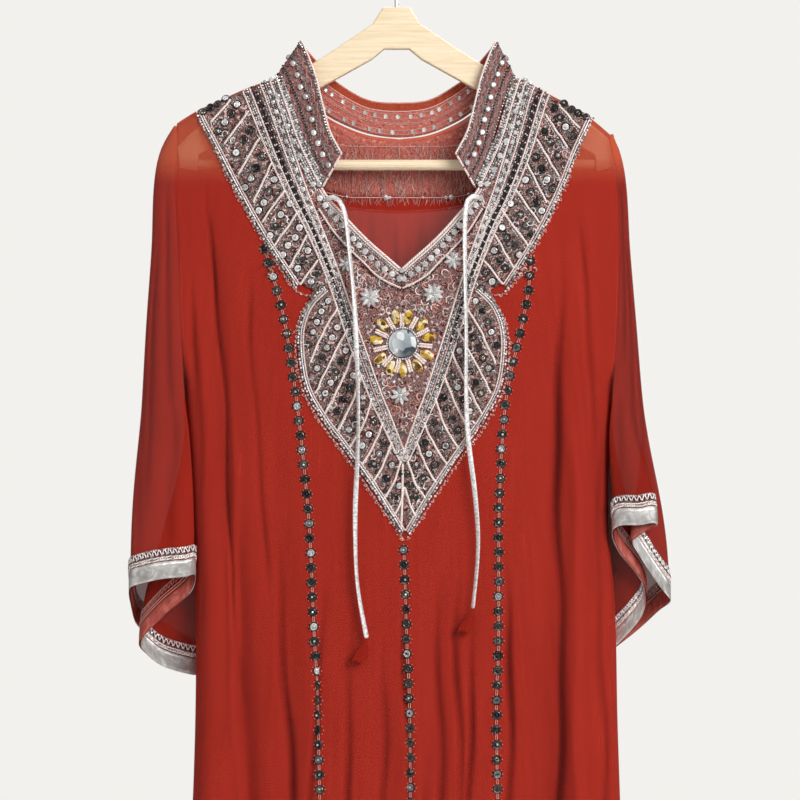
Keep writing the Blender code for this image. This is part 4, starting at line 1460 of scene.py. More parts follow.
@dataclass
class CordShape:
    """Makes the tube of a cord along a line on or above the cloth."""

    radius: float = 1.1
    section: Section = Section.TWISTED
    sides: int = 8
    pitch: float = 4.2
    spacing: float = 0.95
    flatness: float = 0.62
    greatest_roll: float = 0.9
    end_taper: float = 0.55

    def outline(self, turn: float) -> list[Pair]:
        """Cross-section at a turn of the twist.

        Args:
            turn: The twist's angle.

        Returns:
            Places across and up.
        """
        result = []
        for step in range(self.sides):
            angle = step * math.tau / self.sides
            across, up = math.cos(angle), math.sin(angle)
            if self.section is Section.TWISTED:
                swell = 0.74 + 0.26 * abs(math.cos(angle - turn))
                across, up = across * swell, up * swell
            elif self.section is Section.FLAT:
                up *= self.flatness
            result.append((across * self.radius, up * self.radius))
        return result

    def add_to(self, bank: MeshBank, points: Sequence[Vector], normals: Sequence[Vector] | None = None,
               tone: float = 0.5, roll: float = 0.0) -> None:
        """Add a cord to a piece.

        Args:
            bank: Where the tube goes.
            points: The cord's middle line in mm.
            normals: Direction away from the cloth at each point, or None for a free cord.
            tone: Lightness share of the cord.
            roll: Turn of a flat cord for each mm of its length.
        """
        count = len(points)
        ups = list(normals) if normals else [Vector((0, -1, 0))] * count
        rings, uvs, tones = [], [], []
        walked = 0.0
        for index in range(count):
            before, after = points[max(0, index - 1)], points[min(count - 1, index + 1)]
            along = (after - before).normalized()
            side = along.cross(ups[index]).normalized()
            up = side.cross(along).normalized()
            if index:
                walked += (points[index] - points[index - 1]).length
            if roll:
                angle = math.sin(walked * roll) * self.greatest_roll
                leaned = side * math.cos(angle) + up * math.sin(angle)
                side, up = leaned, up * math.cos(angle) - side * math.sin(angle)
            end = self.end_taper if index in (0, count - 1) else 1.0
            turn = walked * math.tau / self.pitch
            for step, (across, high) in enumerate(self.outline(turn)):
                rings.append(points[index] + side * (across * end) + up * (high * end))
                uvs.append((step / self.sides * 0.01, walked * MM))
                # Painted shade along the twist: the cord is darker in the grooves between its plies and
                # lighter on their crests.
                ply = abs(math.cos(step * math.tau / self.sides - turn))
                tones.append(tone + (1.3 * (ply - 0.66) if self.section is Section.TWISTED else 0.0))
        faces = []
        for index in range(count - 1):
            for step in range(self.sides):
                following = (step + 1) % self.sides
                first = index * self.sides
                second = first + self.sides
                faces.append((first + step, second + step, second + following, first + following))
        for start, turn in ((0, 1), ((count - 1) * self.sides, -1)):
            ring = [start + step for step in range(self.sides)][::turn]
            for step in range(1, self.sides - 2, 2):
                faces.append((ring[0], ring[step], ring[step + 1], ring[step + 2]))
        bank.add(np.array([tuple(ring) for ring in rings]), np.array(faces), np.array(uvs), np.array(tones))

    def couch(self, bank: MeshBank, line: Line, lift: float,
              face: Face = Face.FRONT, tone: float = 0.5) -> None:
        """Lay the cord on the cloth along a line.

        Args:
            bank: Where the tube goes.
            line: Places across and heights, in mm.
            lift: Distance of the cord's underside from the panel's middle.
            face: Front or back panel.
            tone: Lightness share of the cord.
        """
        rough = smooth_line(line)
        places = even_points(rough, max(3, int(length_of(rough) / self.spacing)))
        points = [FORM.lifted(p.x, p.z, face, lift + self.radius * 0.8) for p in places]
        normals = [FORM.normal(p.x, p.z, face) for p in places]
        self.add_to(bank, points, normals, tone)


def smooth_line(line: Line) -> list[Vector]:
    """A smooth line through places on the front or back.

    Args:
        line: Places across and heights, in mm.

    Returns:
        Many points in the plane of the panel.
    """
    points = [Vector((x, 0, z)) for x, z in line]
    if len(points) == 2:
        return points
    return smooth_route(points, max(24, int(length_of(points) / 2)))


@dataclass
class Drawstring:
    """One end of the drawstring, from the neck edge to its free end, and the cloth tab on it."""

    hand: Hand
    stops: Sequence[Stop]
    tone: float
    roll: float
    lean: float = -9.0
    diameter: float = 3.6
    half_width: float = 2.4
    flatness: float = 0.42
    route_points: int = 56
    ring_pitch: float = 1.6
    tab_length: float = 22.0
    tab_drop: float = 0.7
    tab_rows: int = 14
    tab_columns: int = 24
    tab_hem: float = 0.7

    def route(self) -> list[Vector]:
        """The cord's middle line in mm."""
        points = []
        for stop in self.stops:
            depth = FORM.half_depth(stop.x, stop.z, Face.FRONT, folded=False)
            depth -= FORM.fold_offset(Face.FRONT, stop.x, stop.z)
            points.append(Vector((stop.x, -depth - stop.out, stop.z)))
        return smooth_route(points, self.route_points)

    def build(self, wardrobe: Wardrobe) -> Pieces:
        """Make the cord and its tab.

        Args:
            wardrobe: The finishes.

        Returns:
            Both pieces.
        """
        route = self.route()
        length = length_of(route)
        shape = CordShape(radius=self.half_width, section=Section.FLAT, sides=12, flatness=self.flatness)
        bank = MeshBank()
        shape.add_to(bank, even_points(route, int(length / self.ring_pitch)), None, self.tone, self.roll)
        cord = bank.build("string_" + self.hand.word, wardrobe.tube)
        tab = self.build_tab(route, wardrobe)
        for piece in (cord, tab):
            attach(piece, "root")
        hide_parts("drawstring_" + self.hand.word)
        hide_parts("drawstring_tab_" + self.hand.word)
        path = [tuple(point * MM) for point in route]
        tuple(path[0])
        LOG.info("string_%s: %.0f mm long", self.hand.word, length)
        return [cord, tab]

    def build_tab(self, route: Sequence[Vector], wardrobe: Wardrobe) -> bpy.types.Object:
        """The small folded scrap of chiffon tied to the end.

        Args:
            route: The cord's middle line.
            wardrobe: The finishes.

        Returns:
            The tab.
        """
        end = route[-1]
        rows = []
        for level in range(self.tab_rows + 1):
            share = level / self.tab_rows
            middle = end + Vector((self.lean * share, 0, -self.tab_drop - self.tab_length * share))
            wide = 1.3 + 5.2 * smooth(share * 1.25) + (self.tab_hem if level == self.tab_rows else 0.0)
            row = []
            for step in range(self.tab_columns):
                angle = step * math.tau / self.tab_columns
                pleat = 1.0 + 0.20 * math.cos(5 * angle) * smooth(share * 2)
                across = wide * pleat * math.cos(angle)
                deep = (0.9 + 1.3 * share) * pleat * math.sin(angle)
                ragged = 1.6 * math.sin(3 * angle + 1.0) * smooth(share * 3 - 2)
                row.append(middle + Vector((across, deep, ragged)))
            rows.append(row)
        points, faces, uvs = grid_sheet(rows, closed=True)
        bank = MeshBank()
        level = np.array([1.0, 1.0, 0.0])
        middle = np.array([end.x + self.lean / 2, end.y, 0.0])
        faces = turned_outward(points, faces, points[faces].mean(axis=1) * level - middle)
        # A tone of 0.35 darkens the whole tab through the chiffon's painted crease shade.
        bank.add(points, faces, uvs, 0.35)
        return bank.build("tab_" + self.hand.word, wardrobe.chiffon, wall=0.3)


@dataclass
class BodyPanel:
    """The front or back of the body: one length of chiffon from shoulder to hem."""

    face: Face
    columns: int
    rows: int
    cut: Pair = (0.62, 1.31)
    cut_area: float = 0.62
    extra_reaches: tuple[float, ...] = (112, 113.5, 115, 116, 116.9, 117.2, 203, 206, 208)
    shoulder_shares: tuple[float, ...] = (0.0, 0.0012, 0.0034, 0.0060, 0.0085)
    widening: float = 1.10

    @property
    def node(self) -> str:
        """The CAD node that the panel stands on."""
        return self.face.name.lower() + "_panel"

    def across_places(self) -> list[float]:
        """Shares across the panel, closer together by the neck corner and the side seam."""
        places = {round(-1 + 2 * index / self.columns, 5) for index in range(self.columns + 1)}
        for reach in self.extra_reaches:
            share = round(reach / FORM.half_top, 5)
            places.update((share, -share))
        return sorted(places)

    def down_places(self) -> list[float]:
        """Shares down the panel, closer together at the shoulder."""
        last = self.shoulder_shares[-1]
        rest = self.rows - len(self.shoulder_shares) + 1
        below = [last + (1.0 - last) * (index / rest) ** self.widening for index in range(1, rest + 1)]
        return [*self.shoulder_shares, *below]

    def build(self, wardrobe: Wardrobe) -> bpy.types.Object:
        """Make the panel.

        Args:
            wardrobe: The finishes.

        Returns:
            The cloth.
        """
        across = self.across_places()
        rows = [[FORM.panel_point(place, down, self.face) for place in across] for down in self.down_places()]
        points, faces, uvs = grid_sheet(rows)
        faces = turned_outward(points, faces, np.array([0.0, self.face.value, 0.0]))
        bank = MeshBank()
        # How far the cloth is gathered, stored as its tone: the chiffon darkens with it as painted crease
        # shade.
        gathered = np.array([FORM.crease_shade_share(x, z, self.face) for x, _, z in points])
        bank.add(points, faces, uvs, gathered)
        finish = wardrobe.chiffon if self.face is Face.FRONT else wardrobe.back_chiffon
        cloth = bank.build("cloth_" + self.face.name.lower(), finish, wall=CLOTH_WALL)
        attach(cloth, "root")
        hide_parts(self.node)
        return cloth


class SleeveSurface:
    """Points and outward directions of a sleeve, and places on it measured from the hem."""

    wander: float = 0.006
    wander_length: float = 31.0
    above_cord: float = 1.0
    parts: int = 3

    def __init__(self, hand: Hand, hem: Sequence[Hem], ripples: Sequence[Ripple], ring: int = 150,
                 upper: int = 30, lower: int = 40) -> None:
        """Work out the rings.

        Args:
            hand: Left or right sleeve.
            hem: The cuff's hem.
            ripples: The sleeve's creases.
            ring: Points round the sleeve.
            upper: Rings beside the body.
            lower: Rings below the underarm.
        """
        self.hand = hand
        self.hem = hem
        self.ripples = ripples
        self.upper = upper
        self.shares = self.ring_shares(ring)
        rows = self.ring_rows(upper, lower)
        self.rows = rows
        self.points = np.array([[tuple(point) for point in row] for row in rows])
        wide = np.roll(self.points, -1, axis=1) - np.roll(self.points, 1, axis=1)
        tall = np.gradient(self.points, axis=0)
        normals = np.cross(wide, tall)
        normals /= np.maximum(TINY, np.linalg.norm(normals, axis=2))[:, :, None]
        outer = min(range(ring), key=lambda i: abs(self.shares[i] - FORM.outer_share))
        if normals[-3, outer, 0] * hand.value < 0:
            normals = -normals
        self.normals = normals

    def ring_shares(self, count: int) -> list[float]:
        """Shares round the sleeve, closer together where the hem turns.

        Args:
            count: How many shares.

        Returns:
            The shares.
        """
        samples = 600
        places = [FORM.hem_point(self.hem, (index / samples) % 1.0) for index in range(samples + 1)]
        steps = [0.0]
        for before, here in zip(places, places[1:]):
            steps.append(steps[-1] + (here - before).length + 0.08)
        result = []
        for index in range(count):
            goal = steps[-1] * index / count
            place = min(samples - 1, bisect.bisect_right(steps, goal) - 1)
            rest = (goal - steps[place]) / (steps[place + 1] - steps[place])
            result.append((place + rest) / samples)
        nearest = min(range(1, count), key=lambda i: abs(result[i] - FORM.back_share))
        result[nearest] = FORM.back_share
        return result

    def ripple(self, share: float, z: float) -> float:
        """Depth of the creases at a place on the sleeve.

        Args:
            share: Share of the way round.
            z: Height.

        Returns:
            How far the cloth is drawn in, in mm.
        """
        total = 0.0
        for ripple in self.ripples:
            if not ripple.z_end < z < ripple.z_top:
                continue
            run = (ripple.z_top - z) / (ripple.z_top - ripple.z_end)
            wander = self.wander * math.sin(z / self.wander_length)
            middle = ripple.share_top + (ripple.share_end - ripple.share_top) * run + wander
            reach = (share - middle) / ripple.width
            total += ripple.depth * smooth(run * 4) * smooth((1 - run) * 4) * math.exp(-reach * reach)
        return total

    def ring_rows(self, upper: int, lower: int) -> list[list[Vector]]:
        """Rings from the shoulder point to the hem.

        Args:
            upper: Rings beside the body.
            lower: Rings below the underarm.

        Returns:
            The rows of points.
        """
        top = FORM.ridge_z(FORM.body_edge(self.hand.value, -176.0))
        start = top - 1.0
        tip = top - 0.2
        rows = []
        for level in range(upper):
            run = level / upper
            body_z = start + (FORM.armhole_z - start) * run
            outer_z = tip + (FORM.armhole_z - tip) * run ** 1.25
            rows.append([FORM.sleeve_ring_point(self.hand, share, body_z, outer_z) for share in self.shares])
        for level in range(lower + 1):
            run = level / lower
            blend = smooth(run)
            row = []
            for share in self.shares:
                hem = FORM.hem_point(self.hem, share)
                z = FORM.armhole_z + (hem.z - FORM.armhole_z) * run
                plain = FORM.sleeve_ring_point(self.hand, share, z, z)
                row.append(Vector((
                    plain.x + (hem.x - plain.x) * blend,
                    plain.y + (hem.y - plain.y) * blend,
                    z,
                )))
            rows.append(row)
        for row in rows:
            for point, share in zip(row, self.shares):
                drawn = self.ripple(share, point.z)
                if drawn and share < FORM.back_share:
                    front = share < FORM.outer_share
                    point.y += drawn if front else -drawn
        return rows

    def up_from_hem(self, column: int, rise: float) -> tuple[Vector, Vector]:
        """A place on the cloth a distance above the hem.

        Args:
            column: The ring point's number.
            rise: Distance along the cloth in mm.

        Returns:
            The place and the outward direction.
        """
        row = len(self.points) - 1
        left = rise
        while row > 0:
            step = float(np.linalg.norm(self.points[row - 1, column] - self.points[row, column]))
            if left <= step or row == 1:
                share = min(1.0, left / max(step, TINY))
                place = self.points[row, column] * (1 - share) + self.points[row - 1, column] * share
                normal = self.normals[row, column] * (1 - share) + self.normals[row - 1, column] * share
                return Vector(place), Vector(normal).normalized()
            left -= step
            row -= 1
        return Vector(self.points[0, column]), Vector(self.normals[0, column])

    def ring(self, rise: float, lift: float) -> Course:
        """A line round the sleeve at a distance from the hem.

        Args:
            rise: Distance from the hem, along the cloth.
            lift: Distance off the cloth, negative inside.

        Returns:
            The places and the outward direction at each.
        """
        places = [self.up_from_hem(column, rise) for column in range(len(self.shares))]
        return [place + normal * lift for place, normal in places], [normal for _, normal in places]

    def scallops(self, low: float, high: float, lift: float, length: float) -> Course:
        """A line of scallops round the sleeve.

        Args:
            low: Distance of the cord below them from the hem.
            high: Distance of their tops from the hem.
            lift: Distance off the cloth, negative inside.
            length: Length of one scallop.

        Returns:
            The places and the outward direction at each.
        """
        line, normals = [], []
        base, _ = self.ring(low, 0)
        lowest = low + self.above_cord
        walked = 0.0
        for step in range((len(self.shares) - 1) * self.parts):
            column, part = divmod(step, self.parts)
            if step:
                walked += (base[column + 1] - base[column]).length / self.parts
            rise = lowest + (high - lowest) * abs(math.sin(walked / length * math.pi))
            places = [self.up_from_hem(near, rise) for near in (column, column + 1)]
            place, normal = (first.lerp(second, part / self.parts) for first, second in zip(*places))
            line.append(place + normal * lift)
            normals.append(normal.normalized())
        return line, normals

    def in_armhole(self, row: int, column: int) -> bool:
        """Whether a face would close the armhole."""
        return row < self.upper and self.shares[column] >= FORM.back_share - TINY


@dataclass
class Sleeve:
    """A wide open sleeve, with its ribbon, its beaded braid and what shows of their reverse."""

    hand: Hand
    hem: Sequence[Hem]
    ripples: Sequence[Ripple]
    cut: Pair
    cut_area: float
    ribbon_high: float = 16.5
    band_rows: int = 5
    braid_low: float = 20.6
    braid_high: float = 27.6
    cord_lift: float = 1.3
    loop_lift: float = 1.4
    loop_length: float = 4.9
    stitch_lift: float = -0.7
    stitch_length: float = 4.6
    outside: float = 1.5
    inside: float = -0.55
    # Ripple depth at which the sleeve's painted crease shade is full.
    full_gather: float = 4.5

    def build(self, wardrobe: Wardrobe) -> Pieces:
        """Make the sleeve and its trim.

        Args:
            wardrobe: The finishes.

        Returns:
            The pieces.
        """
        surface = SleeveSurface(self.hand, self.hem, self.ripples)
        points, faces, uvs = grid_sheet(surface.rows, closed=True, skip=surface.in_armhole)
        faces = turned_outward(points, faces, surface.normals.reshape(-1, 3)[faces[:, 0]])
        bank = MeshBank()
        # How far the cloth is drawn into a ripple, stored as its tone: the chiffon darkens with it as painted
        # crease shade.
        gathered = [min(1.0, surface.ripple(share, point.z) / self.full_gather) for row in surface.rows
                    for share, point in zip(surface.shares, row)]
        bank.add(points, faces, uvs, np.array(gathered))
        word = self.hand.word
        # The sleeve takes its darker copy of the chiffon, which is painted shade.
        cloth = bank.build("cloth_sleeve_" + word, wardrobe.shaded_sleeves[self.hand], wall=CLOTH_WALL)
        ribbon = self.band(surface, 0.2, self.ribbon_high, self.outside, "ribbon_" + word,
                           wardrobe.ribbon, wall=0.3)
        ribbon_back = self.band(surface, 0.6, self.ribbon_high - 0.6, self.inside, "ribbon_reverse_" + word,
                                wardrobe.ribbon_back, wall=0.1)
        pieces = [cloth, ribbon, ribbon_back]
        pieces += self.braid(surface, wardrobe)
        for piece in pieces:
            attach(piece, "root")
        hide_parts("sleeve_" + word)
        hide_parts("cuff_ribbon_" + word)
        for piece in pieces[1:]:
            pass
        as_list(pieces[1:])
        return pieces

    def band(self, surface: SleeveSurface, low: float, high: float, lift: float, name: str,
             material: bpy.types.Material, wall: float) -> bpy.types.Object:
        """A band of ribbon round the hem.

        Args:
            surface: The sleeve.
            low: Its lower edge, from the hem.
            high: Its upper edge.
            lift: Distance from the cloth's middle, negative on the inside.
            name: The piece's name.
            material: Its finish.
            wall: Its thickness.

        Returns:
            The band.
        """
        rises = [high + (low - high) * level / self.band_rows for level in range(self.band_rows + 1)]
        rows = [surface.ring(rise, lift)[0] for rise in rises]
        points, faces, uvs = grid_sheet(rows, closed=True)
        outward = np.array([tuple(normal) for normal in surface.ring(high, lift)[1]])
        faces = turned_outward(points, faces, outward[faces[:, 0] % len(outward)] * math.copysign(1.0, lift))
        bank = MeshBank()
        bank.add(points, faces, uvs)
        return bank.build(name, material, wall=wall)

    def braid(self, surface: SleeveSurface, wardrobe: Wardrobe) -> Pieces:
        """The beaded braid above the ribbon and its stitches inside.

        Args:
            surface: The sleeve.
            wardrobe: The finishes.

        Returns:
            The braid's cords, its loops, its beads and the stitches of its reverse.
        """
        word = self.hand.word
        cords = MeshBank()
        shape = CordShape(radius=0.9, sides=6, pitch=3.4)
        for rise in (self.braid_low, self.ribbon_high + 1.6):
            line, normals = surface.ring(rise, self.cord_lift)
            shape.add_to(cords, line + line[:1], normals + normals[:1], 0.8)
        loops = MeshBank()
        line, normals = surface.scallops(self.braid_low, self.braid_high, self.loop_lift, self.loop_length)
        CordShape(radius=0.62, section=Section.ROUND, sides=5).add_to(loops, line, normals, 0.9)
        beads = MeshBank()
        bead = Notions.shared().bead
        # The first row, at a tone below zero, is of near-black beads that also stand in for the shade in the
        # gaps between the loops.
        for rise, pitch, tone in ((self.braid_low + 1.8, 2.3, -0.1), (self.braid_low + 3.6, 4.9, 1.0),
                                  (self.braid_high + 0.4, 2.3, 0.6), (self.ribbon_high + 2.6, 2.2, 0.6)):
            for place, normal in spaced(surface.ring(rise, self.outside), pitch):
                bead.stamp(beads, place, normal, 1.05, tone + 0.25 * math.sin(place.x * 3.1 + place.z))
        reverse = MeshBank()
        stitch = CordShape(radius=0.36, section=Section.ROUND, sides=5, pitch=3.0)
        for rise in (self.braid_low - 3.0, self.braid_low, self.braid_high + 1.0):
            line, normals = surface.ring(rise, self.stitch_lift)
            stitch.add_to(reverse, line + line[:1], [-normal for normal in normals + normals[:1]], 0.5)
        line, normals = surface.scallops(self.braid_low, self.braid_high,
                                         self.stitch_lift, self.stitch_length)
        stitch.add_to(reverse, line, [-normal for normal in normals], 0.2)
        return [
            cords.build("braid_cords_" + word, wardrobe.cord),
            loops.build("braid_loops_" + word, wardrobe.silver_cord),
            beads.build("braid_beads_" + word, wardrobe.silver, smooth_shade=False),
            reverse.build("braid_stitches_" + word, wardrobe.reverse_thread),
        ]


@dataclass
class Notion:
    """A small repeated thing, modelled once: a bead, a sequin or a cut stone."""

    points: np.ndarray
    faces: np.ndarray

    @classmethod
    def from_object(cls, item: bpy.types.Object) -> "Notion":
        """Read a modelled object and remove it.

        Args:
            item: The modelled object, of a unit size.

        Returns:
            The notion.
        """
        data = item.data
        points = np.array([tuple(vert.co) for vert in data.vertices])
        faces = []
        for polygon in data.polygons:
            corners = list(polygon.vertices)
            for step in range(1, len(corners) - 1, 2):
                last = corners[step + 2] if step + 2 < len(corners) else -1
                faces.append((corners[0], corners[step], corners[step + 1], last))
        bpy.data.objects.remove(item, do_unlink=True)
        return cls(points, np.array(faces))

    def stamp(self, bank: MeshBank, place: Vector, normal: Vector, size: float, tone: float,
              along: Vector | None = None, stretch: Triple = (1.0, 1.0, 1.0)) -> None:
        """Add a copy to a piece.

        Args:
            bank: Where the copy goes.
            place: Its middle in mm.
            normal: The direction that it faces.
            size: Its half size in mm.
            tone: Lightness share.
            along: Direction of its long side.
            stretch: Scale of its own axes.
        """
        side = (along or Vector((1, 0, 0.35))).cross(normal)
        if side.length < 1e-6:
            side = Vector((0, 0, 1)).cross(normal)
        side.normalize()
        forward = normal.cross(side).normalized()
        turn = np.array([tuple(forward), tuple(side), tuple(normal)])
        shaped = self.points * np.array(stretch) * size
        bank.add(shaped @ turn + np.array(tuple(place)), self.faces, None, tone)


class Notions:
    """The bead, the sequin and the cut stones, each modelled once with Blender's own tools."""

    _made: "Notions | None" = None

    def __init__(self) -> None:
        """Model each one."""
        self.bead = self.model_bead()
        self.sequin = self.model_sequin()
        self.stone = self.model_stone()
        self.leaf = self.model_leaf()
        self.ring = self.model_ring()

    @classmethod
    def shared(cls) -> "Notions":
        """The one set, made at its first use."""
        if cls._made is None:
            cls._made = cls()
        return cls._made

    @staticmethod
    def model_bead() -> Notion:
        """A faceted seed bead."""
        deselect_all()
        bpy.ops.mesh.primitive_ico_sphere_add(subdivisions=1, radius=1.0)
        return Notion.from_object(bpy.context.object)

    @staticmethod
    def select_top(item: bpy.types.Object) -> None:
        """Leave only the upward faces selected, in edit mode.

        Args:
            item: The object that is modelled.
        """
        bpy.ops.mesh.select_all(action="DESELECT")
        bpy.ops.object.mode_set(mode="OBJECT")
        for polygon in item.data.polygons:
            polygon.select = polygon.normal.z > 0.9
        bpy.ops.object.mode_set(mode="EDIT")

    @classmethod
    def stepped_disc(cls, sides: int, depth: float, steps: Sequence[Pair]) -> bpy.types.Object:
        """Model a disc whose top is set in and moved, step by step.

        Args:
            sides: Sides of the disc.
            depth: Its depth, for a radius of 1.
            steps: How far each step goes in and up.

        Returns:
            The disc.
        """
        deselect_all()
        bpy.ops.mesh.primitive_cylinder_add(vertices=sides, radius=1.0, depth=depth)
        item = bpy.context.object
        bpy.ops.object.mode_set(mode="EDIT")
        bpy.ops.mesh.select_mode(type="FACE")
        cls.select_top(item)
        for inward, upward in steps:
            bpy.ops.mesh.inset(thickness=inward)
            bpy.ops.transform.translate(value=(0, 0, upward))
        bpy.ops.object.mode_set(mode="OBJECT")
        return item

    @classmethod
    def model_sequin(cls) -> Notion:
        """A cupped sequin: a thin disc with a raised rim and a sunk middle."""
        return Notion.from_object(cls.stepped_disc(14, 0.22, ((0.16, 0.10), (0.30, -0.22))))

    @classmethod
    def model_ring(cls) -> Notion:
        """A flat cut ring that frames a sequin."""
        deselect_all()
        bpy.ops.mesh.primitive_torus_add(major_segments=14, minor_segments=5, major_radius=1.0,
                                         minor_radius=0.22)
        return Notion.from_object(bpy.context.object)

    @classmethod
    def model_stone(cls) -> Notion:
        """A round stone with a table and two rows of facets."""
        return Notion.from_object(cls.stepped_disc(8, 0.5, ((0.22, 0.26), (0.26, 0.14))))

    @classmethod
    def model_leaf(cls) -> Notion:
        """A pointed oval stone with a ridge of facets."""
        item = cls.stepped_disc(12, 0.4, ((0.25, 0.30), (0.34, 0.18)))
        for vert in item.data.vertices:
            vert.co.y *= 0.52 * (1.0 - 0.35 * abs(vert.co.x))
        return Notion.from_object(item)


def place_line(line: Line, pitch: float, start: float = 0.0) -> list[tuple[Vector, Vector]]:
    """Evenly spaced places along a smooth line on a panel.

    Args:
        line: Places across and heights, in mm.
        pitch: Distance between places.
        start: Share of the pitch before the first.

    Returns:
        Places in the panel's plane and the line's direction at each.
    """
    fine = smooth_line(line)
    total = length_of(fine)
    count = max(2, int((total - start * pitch) / pitch) + 1)
    places = even_points(fine, count)
    result = []
    for index, place in enumerate(places):
        before, after = places[max(0, index - 1)], places[min(count - 1, index + 1)]
        result.append((place, (after - before).normalized()))
    return result


def moved_aside(line: Line, distance: float) -> list[Pair]:
    """A line beside another.

    Args:
        line: Places across and heights, in mm.
        distance: Distance between the two, positive to the left of its direction.

    Returns:
        Places of the new line.
    """
    fine = smooth_line(line)
    result = []
    for index, place in enumerate(fine):
        before, after = fine[max(0, index - 1)], fine[min(len(fine) - 1, index + 1)]
        along = (after - before).normalized()
        result.append((place.x - along.z * distance, place.z + along.x * distance))
    return result[::4] + result[-1:]


def mirrored(line: Line, hand: Hand) -> list[Pair]:
    """Turn distances from the middle into places on the left or right."""
    return [FORM.yoke_place(reach, z, hand.value) for reach, z in line]


@dataclass
class Embroidery:
    """Collects the needlework of one motif by its kind, and makes one piece of each."""

    name: str
    face: Face = Face.FRONT
    cords: MeshBank = field(default_factory=MeshBank)
    silver_cords: MeshBank = field(default_factory=MeshBank)
    coral: MeshBank = field(default_factory=MeshBank)
    silver: MeshBank = field(default_factory=MeshBank)
    jet: MeshBank = field(default_factory=MeshBank)
    sequins: MeshBank = field(default_factory=MeshBank)
    crystals: MeshBank = field(default_factory=MeshBank)
    chance: random.Random = field(default_factory=lambda: random.Random(11))

    def lay(self, kind: MeshBank, line: Line, radius: float, lift: float,
            tone: float = 0.5, section: Section = Section.TWISTED, sides: int = 7,
            spacing: float = 0.95) -> None:
        """Couch a cord down along a line.

        Args:
            kind: Which cords it joins.
            line: Places across and heights, in mm.
            radius: The cord's radius.
            lift: Height of its underside over the panel's middle.
            tone: Lightness share.
            section: Its cross-section.
            sides: Sides of the tube.
            spacing: Distance between the tube's rings.
        """
        shape = CordShape(radius=radius, section=section, sides=sides, pitch=radius * 3.8, spacing=spacing)
        shape.couch(kind, line, lift, self.face, tone)

    def bead_row(self, kind: MeshBank, line: Line, size: float, pitch: float,
                 lift: float, tone: float = 0.5, wander: float = 0.0) -> None:
        """Sew a row of beads along a line.

        Args:
            kind: Which beads they join.
            line: Places across and heights, in mm.
            size: Half size of a bead.
            pitch: Distance between beads.
            lift: Height of their underside over the panel's middle.
            tone: Mean lightness share.
            wander: How far a bead strays from the line.
        """
        for place, along in place_line(line, pitch):
            x = place.x + self.chance.uniform(-wander, wander)
            z = place.z + self.chance.uniform(-wander, wander)
            shade = tone + self.chance.uniform(-0.45, 0.35) + (0.5 if self.chance.random() < 0.16 else 0.0)
            self.sew(Notions.shared().bead, kind, x, z, lift + size * 0.75, size, shade, along, BEAD_SHAPE)

    def sew(self, notion: Notion, kind: MeshBank, x: float, z: float, lift: float, size: float, tone: float,
            along: Vector | None = None, stretch: Triple = (1.0, 1.0, 1.0)) -> None:
        """Sew one notion on, flat on the cloth.

        Args:
            notion: What is sewn on.
            kind: Which of its kind it joins.
            x: Place across.
            z: Height.
            lift: Height of its middle over the panel's middle.
            size: Its half size.
            tone: Lightness share.
            along: Direction of its long side.
            stretch: Scale of its own axes.
        """
        place = FORM.lifted(x, z, self.face, lift)
        notion.stamp(kind, place, FORM.normal(x, z, self.face), size, tone, along, stretch)

    def scatter(self, first: MeshBank, second: MeshBank, share: float, x: float, z: float, lift: float,
                size: float, tones: Pair) -> None:
        """Sew a loose bead on, of the first kind or else of the second.

        Args:
            first: One kind of bead.
            second: The other kind.
            share: How often it is of the first kind.
            x: Place across.
            z: Height.
            lift: Height of its middle over the panel's middle.
            size: Its half size.
            tones: Least and greatest lightness share.
        """
        kind = first if self.chance.random() < share else second
        self.sew(Notions.shared().bead, kind, x, z, lift, size, self.chance.uniform(*tones))

    def curl(self, kind: MeshBank, x: float, z: float, least: float, most: float, lift: float) -> None:
        """Couch one curl of fine thread down.

        Args:
            kind: Which cords it joins.
            x: Place across.
            z: Height.
            least: Its least radius.
            most: Its greatest radius.
            lift: Height of its underside over the panel's middle.
        """
        radius, begin = self.chance.uniform(least, most), self.chance.uniform(0, math.tau)
        sweep = self.chance.uniform(2.6, 4.4) * self.chance.choice((-1, 1))
        turns = [begin + sweep * step / 6 for step in range(7)]
        line = [(x + radius * math.cos(turn), z + radius * math.sin(turn)) for turn in turns]
        self.lay(kind, line, radius=0.6, lift=lift, tone=self.chance.uniform(0.1, 0.8), section=Section.ROUND,
                 sides=5, spacing=1.3)

    def sequin(self, x: float, z: float, size: float, lift: float, dark: float) -> None:
        """Sew one sequin with a cut ring round it and a bead in the middle.

        Args:
            x: Place across.
            z: Height.
            size: Its half width.
            lift: Height over the panel's middle.
            dark: How dark it is, from 0 to 1.
        """
        notions = Notions.shared()
        tilt = Vector((self.chance.uniform(*SEQUIN_TILT), 0, self.chance.uniform(*SEQUIN_TILT)))
        normal = (FORM.normal(x, z, self.face) + tilt).normalized()
        point = FORM.lifted(x, z, self.face, lift + 0.5)
        notions.ring.stamp(self.jet, point, normal, size * RING_SHARE, 0.4 + self.chance.uniform(-0.2, 0.4))
        if dark > 0.5:
            kind, shade = self.sequins, 0.25 + self.chance.uniform(-0.2, 0.3)
        else:
            kind, shade = self.silver, 0.75 - dark + self.chance.uniform(-0.3, 0.3)
        notions.sequin.stamp(kind, point + normal * 0.15, normal, size * DISC_SHARE, shade)
        bead = self.silver if self.chance.random() > dark * 0.75 else self.jet
        notions.bead.stamp(bead, point + normal * (0.28 * size), normal, size * MIDDLE_SHARE, 0.6)

